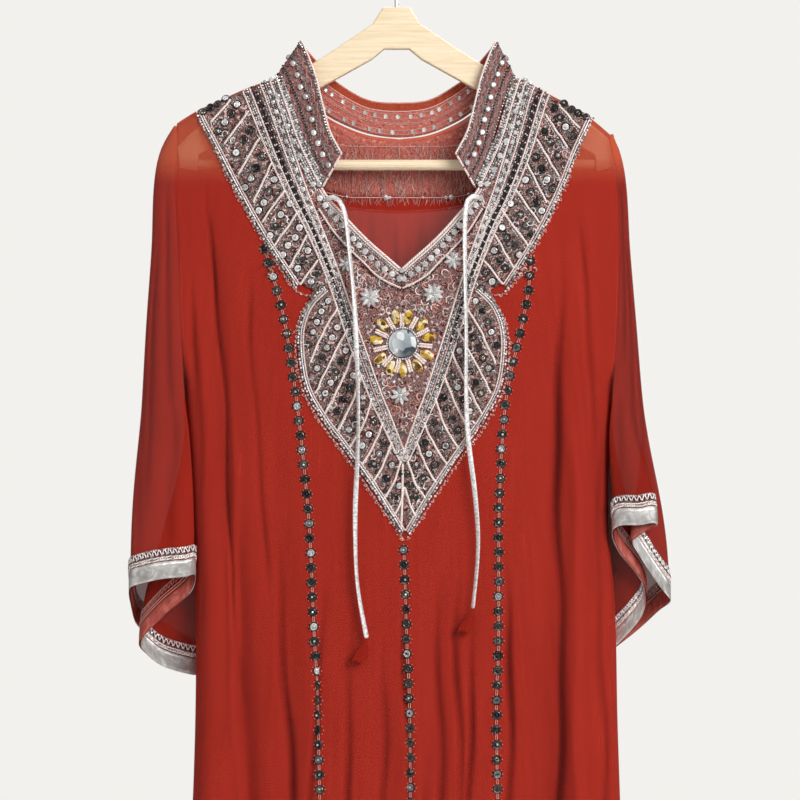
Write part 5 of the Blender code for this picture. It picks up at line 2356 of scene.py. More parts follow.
    def crystal(self, x: float, z: float, size: float, lift: float) -> None:
        """Set one clear stone.

        Args:
            x: Place across.
            z: Height.
            size: Its half width.
            lift: Height over the panel's middle.
        """
        turn = Vector((math.cos(x * 7), 0, math.sin(x * 7)))
        shade = 0.4 + self.chance.uniform(-0.3, 0.4)
        self.sew(Notions.shared().stone, self.crystals, x, z, lift + size * 0.25, size, shade, turn)

    def build(self, wardrobe: Wardrobe) -> Pieces:
        """Make one piece of each kind that has something in it.

        Args:
            wardrobe: The finishes.

        Returns:
            The pieces.
        """
        kinds = (
            ("cords", self.cords, wardrobe.cord, True),
            ("silver_cords", self.silver_cords, wardrobe.silver_cord, True),
            ("picots", self.coral, wardrobe.red_cord, True),
            ("silver_beads", self.silver, wardrobe.silver, False),
            ("jet_beads", self.jet, wardrobe.black, False),
            ("sequins", self.sequins, wardrobe.smoke, False),
            ("stones", self.crystals, wardrobe.crystal, False),
        )
        pieces = []
        for word, bank, material, smooth_shade in kinds:
            if bank.count:
                piece = bank.build(self.name + "_" + word, material, smooth_shade)
                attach(piece, "root")
                pieces.append(piece)
        return pieces


BAND_LINES = (
    BandRow(136, -133.5, 13), BandRow(131, -146, 13), BandRow(122, -172, 12), BandRow(112, -200, 11),
    BandRow(98, -236, 9), BandRow(83, -269, 7), BandRow(65, -315, 6), BandRow(44, -379, 6),
    BandRow(27, -427, 5.5), BandRow(18, -448, 5), BandRow(6, -477, 4), BandRow(0.8, -490, 3),
)
BAND_REACH = Table(BAND_LINES, "z")
ALL_ROWS, WIDE_ROWS, WIDE_AND_NEXT, NARROW_ROWS = slice(None), slice(7), slice(8), slice(6, None)
BAND_CORDS = (
    (-1.05, 0.75, ALL_ROWS), (1.08, 0.8, ALL_ROWS), (-0.52, 0.75, WIDE_ROWS), (0.32, 0.7, WIDE_ROWS),
)
BAND_BEADS = (
    (-0.88, 0.95, WIDE_ROWS), (-0.70, 1.05, WIDE_ROWS), (0.48, 1.0, WIDE_ROWS), (0.66, 1.0, WIDE_ROWS),
    (0.86, 1.0, WIDE_ROWS), (0.14, 0.9, WIDE_ROWS), (-0.72, 0.9, NARROW_ROWS), (0.72, 0.9, NARROW_ROWS),
)
UPPER_LEAF_OUTER = ((191, -158), (184.5, -171.5), (173.5, -192.5), (154, -231), (127.5, -279), (98.5, -324))
UPPER_RIBS = (
    ((160, -146.5), (180.5, -168.5)), ((144, -157), (167.5, -188.5)), ((133, -182), (154.5, -217.5)),
    ((121.5, -206), (140.5, -244.5)), ((109.5, -232), (132, -263.5)), ((96.5, -252), (121, -286.5)),
    ((89, -275), (107, -307.5)), ((79, -300), (96.5, -323)),
)
UPPER_SEQUINS = (
    ((154.5, -150.5), 0), ((160.5, -159), 1), ((166.5, -167.5), 0), ((173, -176), 1),
    ((142.5, -174.5), 1), ((148.5, -184), 1), ((156, -196.5), 0),
    ((131.5, -200), 1), ((137, -211.5), 1), ((142, -221.5), 0), ((148, -230), 0),
    ((120, -222.5), 0), ((125, -234), 1), ((130, -244.5), 0), ((135, -252), 0),
    ((105, -245.5), 0), ((114, -256), 0), ((119.5, -266.5), 1), ((124.5, -276), 0),
    ((96.5, -268.5), 0), ((100.5, -278), 0), ((107.5, -285.5), 0), ((112.5, -294.5), 0),
    ((88.5, -290.5), 0), ((93.5, -300), 1), ((98.5, -307.5), 0),
    ((80, -311.5), 1), ((86, -320), 0), ((75.5, -327), 0),
    ((173, -150.5), 1), ((179.5, -154), 1), ((165, -145.5), 0), ((187.5, -158), 1),
)
LOWER_LEAF_OUTER = (
    (71.5, -327), (87, -342.5), (95.5, -365.5), (95.5, -394), (89.5, -423), (73.5, -451.5), (52, -480.5),
    (25.5, -519), (2, -557.5),
)
LOWER_RIBS = (
    ((60.5, -344), (75, -369), (88, -398)), ((52, -364.5), (67, -394), (83.5, -426.5)),
    ((46.5, -386.5), (58.5, -415), (74.5, -446)), ((39, -408.5), (49, -435.5), (63, -462.5)),
    ((30, -430.5), (38, -455.5), (52, -478.5)), ((19.5, -453.5), (28.5, -475.5), (40.5, -494)),
    ((11.5, -472), (19.5, -493), (30, -511)), ((3, -490), (10, -511), (20, -526.5)),
    ((0.5, -515), (4.5, -530.5), (10.5, -543)),
)
PICOT_EDGE = (
    (189.5, -165.5), (174.5, -198.5), (156, -236.5), (129.5, -284.5), (100.5, -329), (80.5, -333.5),
    (93, -345), (101, -368), (101.5, -394), (95, -425), (78.5, -455.5), (55.5, -486.5), (29.5, -524.5),
    (3, -564),
)
COLLAR_BASE = ((116, -126.5), (105.5, -158), (99.5, -177), (92.5, -194.5), (84.5, -211.5), (78, -225))
LOWER_TOP_SEQUINS = ((70, -338.5), (76.5, -348.5), (81, -358.5), (84.5, -368), (89, -380.5), (75, -327))
NECK_EDGE = (
    (75, -230), (67.5, -241.5), (58, -252), (46, -265.5), (35.5, -276.5), (25, -286.5), (14, -296),
    (0.5, -308),
)
NECK_MIDDLE = (
    (76.5, -240.5), (63, -258), (42.5, -282.5), (31, -295), (22, -304), (13.5, -310),
    (2, -317.5),
)
NECK_OUTER = (
    (78, -250), (64, -272), (47.5, -290.5), (36, -301.5), (25.5, -312.5), (14.5, -320), (0.5, -326.5),
)
CHAINS = (
    ((-125.5, -288.5), (-109, -346), (-100.5, -394), (-92.5, -451.5), (-83, -547.5), (-77.5, -663),
     (-73.5, -749.5), (-72, -1000), (-80, -1400)),
    ((7, -574.5), (10, -663), (13, -749.5), (14, -1000), (16, -1400)),
    ((128, -300), (125.5, -327), (118.5, -365.5), (104, -432.5), (97.5, -528.5), (96.5, -663),
     (94.5, -749.5), (100, -1000), (108, -1400)),
)
STRINGS = {
    Hand.LEFT: (
        Stop(-67, 4.9, -241), Stop(-64, 5.2, -240), Stop(-59, 8, -240), Stop(-53, 11, -245),
        Stop(-48, 12, -260), Stop(-45, 12, -288), Stop(-40, 12, -338), Stop(-38, 12, -383),
        Stop(-36, 11, -442), Stop(-37, 10, -489), Stop(-39, 9, -545), Stop(-37, 8, -605), Stop(-28, 8, -657),
    ),
    Hand.RIGHT: (
        Stop(79, 4.9, -240), Stop(76, 5.2, -239), Stop(72, 8, -239), Stop(67, 11, -245), Stop(65, 12, -264),
        Stop(65, 12, -310), Stop(66, 12, -368), Stop(66, 12, -430), Stop(68, 11, -470), Stop(74, 10, -520),
        Stop(77, 9, -560), Stop(76, 8, -590), Stop(72, 8, -629),
    ),
}
FLOWERS = (
    ((-25.5, -335.5), 9.5, 10), ((35, -331.5), 9.5, 10), ((3.5, -428.5), 9.0, 8), ((54, -300), 8.5, 8),
    ((-47.5, -303), 7.5, 8),
)


def band_line(share: float) -> list[Pair]:
    """A line along the roped band, at a share of its half width.

    Args:
        share: From -1, the outer edge, to 1, the inner edge.

    Returns:
        Distances from the middle and heights.
    """
    result = []
    for index, line in enumerate(BAND_LINES):
        before, after = BAND_LINES[max(0, index - 1)], BAND_LINES[min(len(BAND_LINES) - 1, index + 1)]
        along = Vector((after.reach - before.reach, after.z - before.z)).normalized()
        result.append((line.reach + along.y * line.half * share, line.z - along.x * line.half * share))
    return result


@dataclass
class YokeGround:
    """The sheer ground of the yoke, on the front or the back."""

    face: Face
    spans: Sequence[Span]
    columns: int = 26
    steps: int = 7
    lift: float = 1.95
    cut: Pair = (0.38, 0.43)
    cut_area: float = 0.07

    def build(self, wardrobe: Wardrobe) -> bpy.types.Object:
        """Make the ground.

        Args:
            wardrobe: The finishes.

        Returns:
            The piece.
        """
        lines = []
        for first, second in zip(self.spans, self.spans[1:]):
            for step in range(self.steps):
                lines.append(tuple(a + (b - a) * step / self.steps for a, b in zip(first, second)))
        lines.append(tuple(self.spans[-1]))
        bank = MeshBank()
        for mirror in (-1, 1):
            rows = []
            for inner, inner_z, outer, outer_z in lines:
                row = []
                for step in range(self.columns + 1):
                    share = step / self.columns
                    reach = inner + (outer - inner) * share
                    z = inner_z + (outer_z - inner_z) * share
                    row.append(FORM.lifted(*FORM.yoke_place(reach, z, mirror), self.face, self.lift))
                rows.append(row)
            points, faces, _ = grid_sheet(rows)
            uvs = points[:, [0, 2]] * MM
            faces = turned_outward(points, faces, np.array([0.0, self.face.value, 0.0]))
            leaf = [smooth((abs(x) - BAND_REACH.at("reach", z)) / 10.0) for x, _, z in points]
            bank.add(points, faces, uvs, np.array(leaf))
        piece = bank.build("yoke_ground_" + self.face.name.lower(), wardrobe.ground, wall=0.45)
        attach(piece, "root")
        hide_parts("yoke_" + self.face.name.lower())
        return piece


@dataclass
class RopeBand:
    """The band of cords and beads that runs from the shoulder to the point of the yoke."""

    hand: Hand
    lift: float = OVER_GROUND
    jet_rows: Pair = (-0.30, -0.10)
    crystal_rows: Pair = (-0.40, 0.40)
    stone_row: float = 0.74
    stone_pitch: float = 9.6
    base_rows: tuple[float, ...] = (-5.2, -3.4, -1.6, 2.4, 4.9, 7.2)
    base_stone_row: float = 4.9
    base_stone_pitch: float = 15.0

    def row(self, share: float, rows: slice) -> list[Pair]:
        """Part of a line along the band, on its own side."""
        return mirrored(band_line(share)[rows], self.hand)

    def build(self, wardrobe: Wardrobe) -> Pieces:
        """Make the band.

        Args:
            wardrobe: The finishes.

        Returns:
            The pieces.
        """
        work = Embroidery("band_" + self.hand.word)
        for share, tone, rows in BAND_CORDS:
            work.lay(work.cords, self.row(share, rows), radius=1.0, lift=self.lift, tone=tone)
        for share, size, rows in BAND_BEADS:
            work.bead_row(work.silver, self.row(share, rows),
                          size=size, pitch=2.1, lift=self.lift, tone=0.5, wander=0.3)
        for share in self.jet_rows:
            row = self.row(share, WIDE_AND_NEXT)
            work.bead_row(work.jet, row, size=1.2, pitch=2.3, lift=self.lift + 0.1, tone=0.4, wander=0.3)
            work.bead_row(work.silver, row, size=0.9, pitch=7.3, lift=self.lift + 0.7, tone=0.8, wander=0.5)
        for share in self.crystal_rows:
            row = self.row(share, NARROW_ROWS)
            work.bead_row(work.crystals, row, size=1.25, pitch=2.5, lift=self.lift, tone=0.4, wander=0.4)
            work.bead_row(work.jet, row, size=0.75, pitch=5.6, lift=self.lift + 0.9, tone=0.3, wander=0.6)
        work.lay(work.cords, self.row(0.0, NARROW_ROWS), radius=0.9, lift=self.lift, tone=0.45)
        for place, _ in place_line(self.row(self.stone_row, WIDE_ROWS), self.stone_pitch):
            work.crystal(place.x, place.z, 2.1, self.lift + 0.5)
        base = mirrored(COLLAR_BASE, self.hand)
        side = self.hand.value
        work.lay(work.cords, base, radius=1.15, lift=self.lift, tone=0.8)
        for aside in self.base_rows:
            work.bead_row(work.silver, moved_aside(base, aside * side),
                          size=1.2, pitch=2.5, lift=self.lift, tone=0.5, wander=0.3)
        for place, _ in place_line(moved_aside(base, self.base_stone_row * side), self.base_stone_pitch):
            work.crystal(place.x, place.z, 2.6, self.lift + 0.9)
        pieces = work.build(wardrobe)
        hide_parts("rope_band_" + self.hand.word)
        return pieces


@dataclass
class LeafWork:
    """The ribbed leaves outside the band: upper leaf, lower leaf, sequins and picots."""

    hand: Hand
    lift: float = OVER_GROUND
    right_darker: float = 0.45
    upper_sequin: float = 3.9
    small_sequin: float = 3.4
    lower_sequin: float = 3.6
    curls_and_beads: int = 520
    span: Pair = (-552, -158)
    picot_pitch: float = 4.7
    picot_seat: float = 1.6
    picot_sizes: Pair = (1.3, 3.6)
    picot_width: float = 1.9
    picot_lift: float = 0.9
    picot_steps: int = 6

    @staticmethod
    def shade(work: Embroidery, share: float) -> float:
        """How dark the next sequin is, for the share of dark ones."""
        return DARK if work.chance.random() < share else PALE

    def build(self, wardrobe: Wardrobe) -> Pieces:
        """Make the leaves.

        Args:
            wardrobe: The finishes.

        Returns:
            The pieces.
        """
        work = Embroidery("leaves_" + self.hand.word, chance=random.Random(21 + self.hand.value))
        darker = 0.0 if self.hand is Hand.LEFT else self.right_darker
        aside = 2.2 * self.hand.value
        for line in (UPPER_LEAF_OUTER, LOWER_LEAF_OUTER):
            placed = mirrored(line, self.hand)
            work.lay(work.silver_cords, placed, radius=1.0, lift=self.lift, tone=0.6)
            work.lay(work.cords, moved_aside(placed, -aside), radius=0.9, lift=self.lift, tone=0.7)
            work.bead_row(work.silver, moved_aside(placed, aside),
                          size=1.25, pitch=2.9, lift=self.lift - 0.6, tone=0.6, wander=0.6)
        for rib in UPPER_RIBS + LOWER_RIBS:
            row = [(place.x + work.chance.uniform(-0.5, 0.5), place.z + work.chance.uniform(-0.5, 0.5))
                   for place, _ in place_line(mirrored(rib, self.hand), 6.0)]
            work.lay(work.cords, row, radius=1.15, lift=self.lift, tone=0.9, sides=6, spacing=1.1)
        for (reach, z), dark in UPPER_SEQUINS:
            x, z = FORM.yoke_place(reach, z, self.hand.value)
            dark_here = dark * DARK if work.chance.random() > darker else DARK
            work.sequin(x, z, self.upper_sequin, self.lift, dark_here)
        for x, z in mirrored(LOWER_TOP_SEQUINS, self.hand):
            work.sequin(x, z, self.small_sequin, self.lift, self.shade(work, 0.35 + darker))
        for first, second in zip(LOWER_RIBS, LOWER_RIBS[1:]):
            run = [((a[0] + b[0]) / 2, (a[1] + b[1]) / 2) for a, b in zip(first, second)]
            placed = place_line(mirrored(run, self.hand), 10.6)
            for place, _ in placed[:-1] if len(placed) > 3 else placed:
                work.sequin(place.x, place.z, self.lower_sequin, self.lift, self.shade(work, 0.45 + darker))
        for first, second in zip(UPPER_RIBS + LOWER_RIBS, (UPPER_RIBS + LOWER_RIBS)[1:]):
            if first is UPPER_RIBS[-1]:
                continue
            for share, kind in ((0.12, work.silver), (0.88, work.jet)):
                ends = [tuple(a + (b - a) * share for a, b in zip(first[end], second[end]))
                        for end in (0, -1)]
                work.bead_row(kind, mirrored(ends, self.hand),
                              size=0.85, pitch=2.5, lift=self.lift - 0.2, tone=0.45, wander=0.3)
        if self.hand is Hand.LEFT:
            work.lay(work.cords, ((6, -493), (5.5, -523.5), (4.5, -554.5)),
                     radius=1.2, lift=self.lift, tone=0.9)
        self.tangle(work)
        self.picots(work)
        return work.build(wardrobe)

    def tangle(self, work: Embroidery) -> None:
        """Scatter curls of fine thread and seed beads over the ground of the leaves.

        Args:
            work: The motif.
        """
        outer = Table([Ridge(reach, z) for reach, z in UPPER_LEAF_OUTER + LOWER_LEAF_OUTER], "z")
        for _ in range(self.curls_and_beads):
            z = work.chance.uniform(*self.span)
            low, high = BAND_REACH.at("reach", z) + 6.0, outer.at("reach", z) - 3.5
            if high < low:
                continue
            x, z = FORM.yoke_place(work.chance.uniform(low, high), z, self.hand.value)
            if work.chance.random() < 0.45:
                work.scatter(work.silver, work.jet, 0.5, x, z, self.lift + 0.5, 0.9, (0.0, 0.8))
            else:
                work.curl(work.chance.choice((work.cords, work.silver_cords)), x, z, 1.5, 3.2, self.lift)

    def picots(self, work: Embroidery) -> None:
        """Sew the small loops that stand out round the leaves.

        Args:
            work: The motif.
        """
        shape = CordShape(radius=0.4, section=Section.ROUND, sides=5)
        chance = work.chance
        for place, along in place_line(mirrored(PICOT_EDGE, self.hand), self.picot_pitch):
            side = Vector((-along.z, 0, along.x)) * self.hand.value
            place = place - side * self.picot_seat
            size = chance.uniform(*self.picot_sizes)
            wide = min(size, self.picot_width)
            points, normals = [], []
            for step in range(self.picot_steps + 1):
                angle = math.pi * step / self.picot_steps
                spot = place - along * (wide * math.cos(angle)) + side * (size * math.sin(angle))
                points.append(FORM.lifted(spot.x, spot.z, Face.FRONT, self.picot_lift))
                normals.append(FORM.normal(spot.x, spot.z, Face.FRONT))
            shape.add_to(work.coral, points, normals, chance.uniform(0.0, 0.7))
            for bank, reach, bead in ((work.coral, size, 0.85), (work.coral, size * 0.5, 0.7),
                                      (work.crystals, chance.uniform(0.2, 1.3), chance.uniform(0.7, 1.25))):
                tip = place + side * reach + along * chance.uniform(-1.4, 1.4)
                work.sew(Notions.shared().bead, bank, tip.x, tip.z, 1.2, bead, chance.uniform(0.1, 1.1))


@dataclass
class CentreField:
    """The middle of the yoke: curls of couched thread, silver flowers and the stones' settings."""

    lift: float = OVER_GROUND
    curls: int = 330
    loose_beads: int = 420
    width: Pair = (-92, 98)
    height: Pair = (-474, -216)
    foot: float = -476.0
    stone_radius: float = 13.6
    stone_z: float = -379.0
    petal_ring: float = 25.6
    cord_aside: float = 1.2
    ray_stones: tuple[Pair, ...] = ((-0.10, 31.5), (0.12, 34.5), (0.0, 37.5))
    gaps: tuple[float, ...] = (29, 61.5, 91.5, 120.5, 155, 193.5, 229.5, 257.5, 287, 319.5, 354.5)

    def inside(self, x: float, z: float) -> bool:
        """Whether a place lies between the bands and clear of neck and flower.

        Args:
            x: Place across.
            z: Height.

        Returns:
            True inside.
        """
        reach = abs(x - FORM.centre_x(z))
        edge = BAND_REACH.at("reach", z) - 8.0
        if reach > edge or z < self.foot:
            return False
        if z > FRONT_NECK.at("z", reach) - 19.0:
            return False
        away = math.hypot(x - FORM.centre_x(self.stone_z), z - self.stone_z)
        return away > self.petal_ring + 8.0

    def build(self, wardrobe: Wardrobe) -> Pieces:
        """Make the field.

        Args:
            wardrobe: The finishes.

        Returns:
            The pieces.
        """
        work = Embroidery("centre", chance=random.Random(5))
        chance = work.chance
        made = 0
        while made < self.curls:
            x, z = chance.uniform(*self.width), chance.uniform(*self.height)
            if not self.inside(x, z):
                continue
            made += 1
            kind = chance.choice((work.cords, work.cords, work.coral, work.silver_cords))
            work.curl(kind, x, z, 1.8, 4.0, self.lift)
        for _ in range(self.loose_beads):
            x, z = chance.uniform(*self.width), chance.uniform(*self.height)
            if self.inside(x, z):
                work.scatter(work.silver, work.jet, 0.6, x, z, self.lift + 0.6, 0.95, (0.1, 0.9))
        for (x, z), size, petals in FLOWERS:
            self.flower(work, x, z, size, petals)
        self.settings(work)
        return work.build(wardrobe)

    def flower(self, work: Embroidery, x: float, z: float, size: float, petals: int) -> None:
        """Sew a silver flower of long petals round a stone.

        Args:
            work: The motif.
            x: Place across.
            z: Height.
            size: Reach of its petals.
            petals: Number of petals.
        """
        for index in range(petals):
            angle = (index + 0.3) * math.tau / petals
            along = Vector((math.cos(angle), 0, math.sin(angle)))
            spot = Vector((x, 0, z)) + along * (size * 0.62)
            shade = 0.5 + 0.4 * math.sin(index * 2.3)
            leaf = Notions.shared().leaf
            work.sew(leaf, work.crystals, spot.x, spot.z, self.lift + 1.3, size * 0.44, shade, along)
        work.crystal(x, z, size * 0.24, self.lift + 1.0)

    def settings(self, work: Embroidery) -> None:
        """Sew the cords between the yellow stones and the beads round the large one.

        Args:
            work: The motif.
        """
        x, z = FORM.centre_x(self.stone_z), self.stone_z
        for degrees in self.gaps:
            angle = math.radians(degrees)
            along = Vector((math.cos(angle), math.sin(angle)))
            for offset in (-self.cord_aside, self.cord_aside):
                side = Vector((-along.y, along.x)) * offset
                ends = [(x + along.x * reach + side.x, z + along.y * reach + side.y)
                        for reach in (self.stone_radius + 2.0, self.petal_ring + 3.0)]
                work.lay(work.cords, ends, radius=1.25, lift=self.lift, tone=0.9, sides=6)
            for shift, reach in self.ray_stones:
                spot = (x + reach * math.cos(angle + shift), z + reach * math.sin(angle + shift))
                work.crystal(*spot, 1.5, self.lift)
        reach = self.stone_radius + 1.3
        turns = [step * math.tau / 40 for step in range(41)]
        ring = [(x + reach * math.cos(turn), z + reach * math.sin(turn)) for turn in turns]
        work.bead_row(work.silver, ring, size=1.0, pitch=2.3, lift=self.lift + 0.3, tone=0.7)


@dataclass
class NeckEdging:
    """The edge of the V neck: two cords with clear stones between them."""

    hand: Hand
    lift: float = OVER_GROUND
    stone_size: float = 3.0
    stone_pitch: float = 7.9
    beads_beside: Pair = (-2.9, 3.1)
    left_top_stone: Pair = (-73.5, -227)
    right_top_stone: Pair = (80, -227)
    point_stone: Pair = (5, -309.5)

    def build(self, wardrobe: Wardrobe) -> Pieces:
        """Make the edging.

        Args:
            wardrobe: The finishes.

        Returns:
            The pieces.
        """
        work = Embroidery("neck_edge_" + self.hand.word)
        edge = mirrored(NECK_EDGE, self.hand)
        outer = mirrored(NECK_OUTER, self.hand)
        side = self.hand.value
        work.lay(work.cords, moved_aside(edge, 0.4 * side), radius=1.35, lift=1.4, tone=0.95)
        work.lay(work.cords, moved_aside(edge, 2.9 * side), radius=1.0, lift=self.lift, tone=0.8)
        work.bead_row(work.crystals, moved_aside(edge, 5.0 * side),
                      size=0.95, pitch=2.4, lift=self.lift, tone=0.6)
        work.lay(work.cords, outer, radius=1.0, lift=self.lift, tone=0.85)
        work.bead_row(work.jet, moved_aside(outer, 2.1 * side), size=0.9, pitch=2.6, lift=self.lift, tone=0.3)
        middle = mirrored(NECK_MIDDLE, self.hand)
        for place, _ in place_line(middle, self.stone_pitch):
            work.crystal(place.x, place.z, self.stone_size, self.lift + 0.5)
        work.bead_row(work.jet, middle, size=0.8, pitch=3.9, lift=self.lift - 0.2, tone=0.3, wander=1.5)
        for aside in self.beads_beside:
            work.bead_row(work.crystals, moved_aside(middle, aside),
                          size=0.85, pitch=2.5, lift=self.lift, tone=0.3, wander=0.6)
        top = self.left_top_stone if self.hand is Hand.LEFT else self.right_top_stone
        work.crystal(*top, self.stone_size, self.lift + 0.3)
        if self.hand is Hand.LEFT:
            work.crystal(*self.point_stone, 2.6, self.lift + 0.6)
        pieces = work.build(wardrobe)
        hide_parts("neck_edging_" + self.hand.word)
        return pieces


@dataclass
class SequinChain:
    """A long line of sequins on a pale thread, from the yoke to the hem."""

    name: str
    line: Line
    pitch: float = 13.8
    size: float = 4.2
    ring: float = 5.0
    ring_beads: int = 8
    dark_share: float = 0.72
    half_dark: float = 0.42
    seed: int = 3

    def build(self, wardrobe: Wardrobe) -> Pieces:
        """Make the chain.

        Args:
            wardrobe: The finishes.

        Returns:
            The pieces.
        """
        work = Embroidery("chain_" + self.name, chance=random.Random(self.seed))
        for side in (-0.8, 0.8):
            work.lay(work.coral, moved_aside(self.line, side),
                     radius=0.35, lift=0.3, tone=0.7, section=Section.ROUND, sides=4, spacing=3.0)
        for place, _ in place_line(self.line, self.pitch):
            x = place.x + work.chance.uniform(-0.5, 0.5)
            dark = DARK if work.chance.random() < self.dark_share else self.half_dark
            work.sequin(x, place.z, self.size, 0.5, dark)
            for step in range(self.ring_beads):
                angle = step * math.tau / self.ring_beads
                work.sew(Notions.shared().bead, work.coral, x + self.ring * math.cos(angle),
                         place.z + self.ring * math.sin(angle), 0.7, 0.55, work.chance.uniform(0.2, 1.1))
        return work.build(wardrobe)


class CollarSurface:
    """Points and outward directions of the stand collar, from front end round to front end."""

    def __init__(self, columns: int = 170, rows: int = 14) -> None:
        """Work out the surface.

        Args:
            columns: Points from front end to front end.
            rows: Points from the seam to the free edge.
        """
        left = [(row, -1) for row in reversed(COLLAR)]
        right = [(row, 1) for row in COLLAR[1:]]
        lines = left + right
        grid = []
        for level in range(rows + 1):
            share = level / rows
            coarse = [FORM.collar_point(row, share, mirror) for row, mirror in lines]
            grid.append(smooth_route(coarse, columns + 1))
        self.rows = grid
        self.points = np.array([[tuple(point) for point in row] for row in grid])
        wide = np.gradient(self.points, axis=1)
        tall = np.gradient(self.points, axis=0)
        normals = np.cross(wide, tall)
        normals /= np.maximum(TINY, np.linalg.norm(normals, axis=2))[:, :, None]
        if normals[3, columns // 2, 1] < 0:
            normals = -normals
        self.normals = normals

    def place(self, round_share: float, up_share: float) -> tuple[Vector, Vector]:
        """A place on the collar.

        Args:
            round_share: Share of the way from the left front end to the right one.
            up_share: Share of the way from the seam to the free edge.

        Returns:
            The place and the outward direction.
        """
        rows, columns = self.points.shape[0] - 1, self.points.shape[1] - 1
        down = min(rows - 1e-6, max(0.0, up_share * rows))
        across = min(columns - 1e-6, max(0.0, round_share * columns))
        row, column = int(down), int(across)
        a, b = down - row, across - column
        result = []
        for table in (self.points, self.normals):
            value = (table[row, column] * (1 - a) * (1 - b) + table[row, column + 1] * (1 - a) * b
                     + table[row + 1, column] * a * (1 - b) + table[row + 1, column + 1] * a * b)
            result.append(Vector(value))
        return result[0], result[1].normalized()

    def course(self, up: float, lift: float, start: float, end: float, count: int) -> Course:
        """Places round the collar, lifted off its cloth.

        Args:
            up: Share of the way from the seam to the free edge.
            lift: Distance from the cloth, negative inside.
            start: First share round.
            end: Last share round.
            count: Steps between them.

        Returns:
            The places and the outward direction at each.
        """
        places = [self.place(start + (end - start) * step / count, up) for step in range(count + 1)]
        return [place + normal * lift for place, normal in places], [normal for _, normal in places]


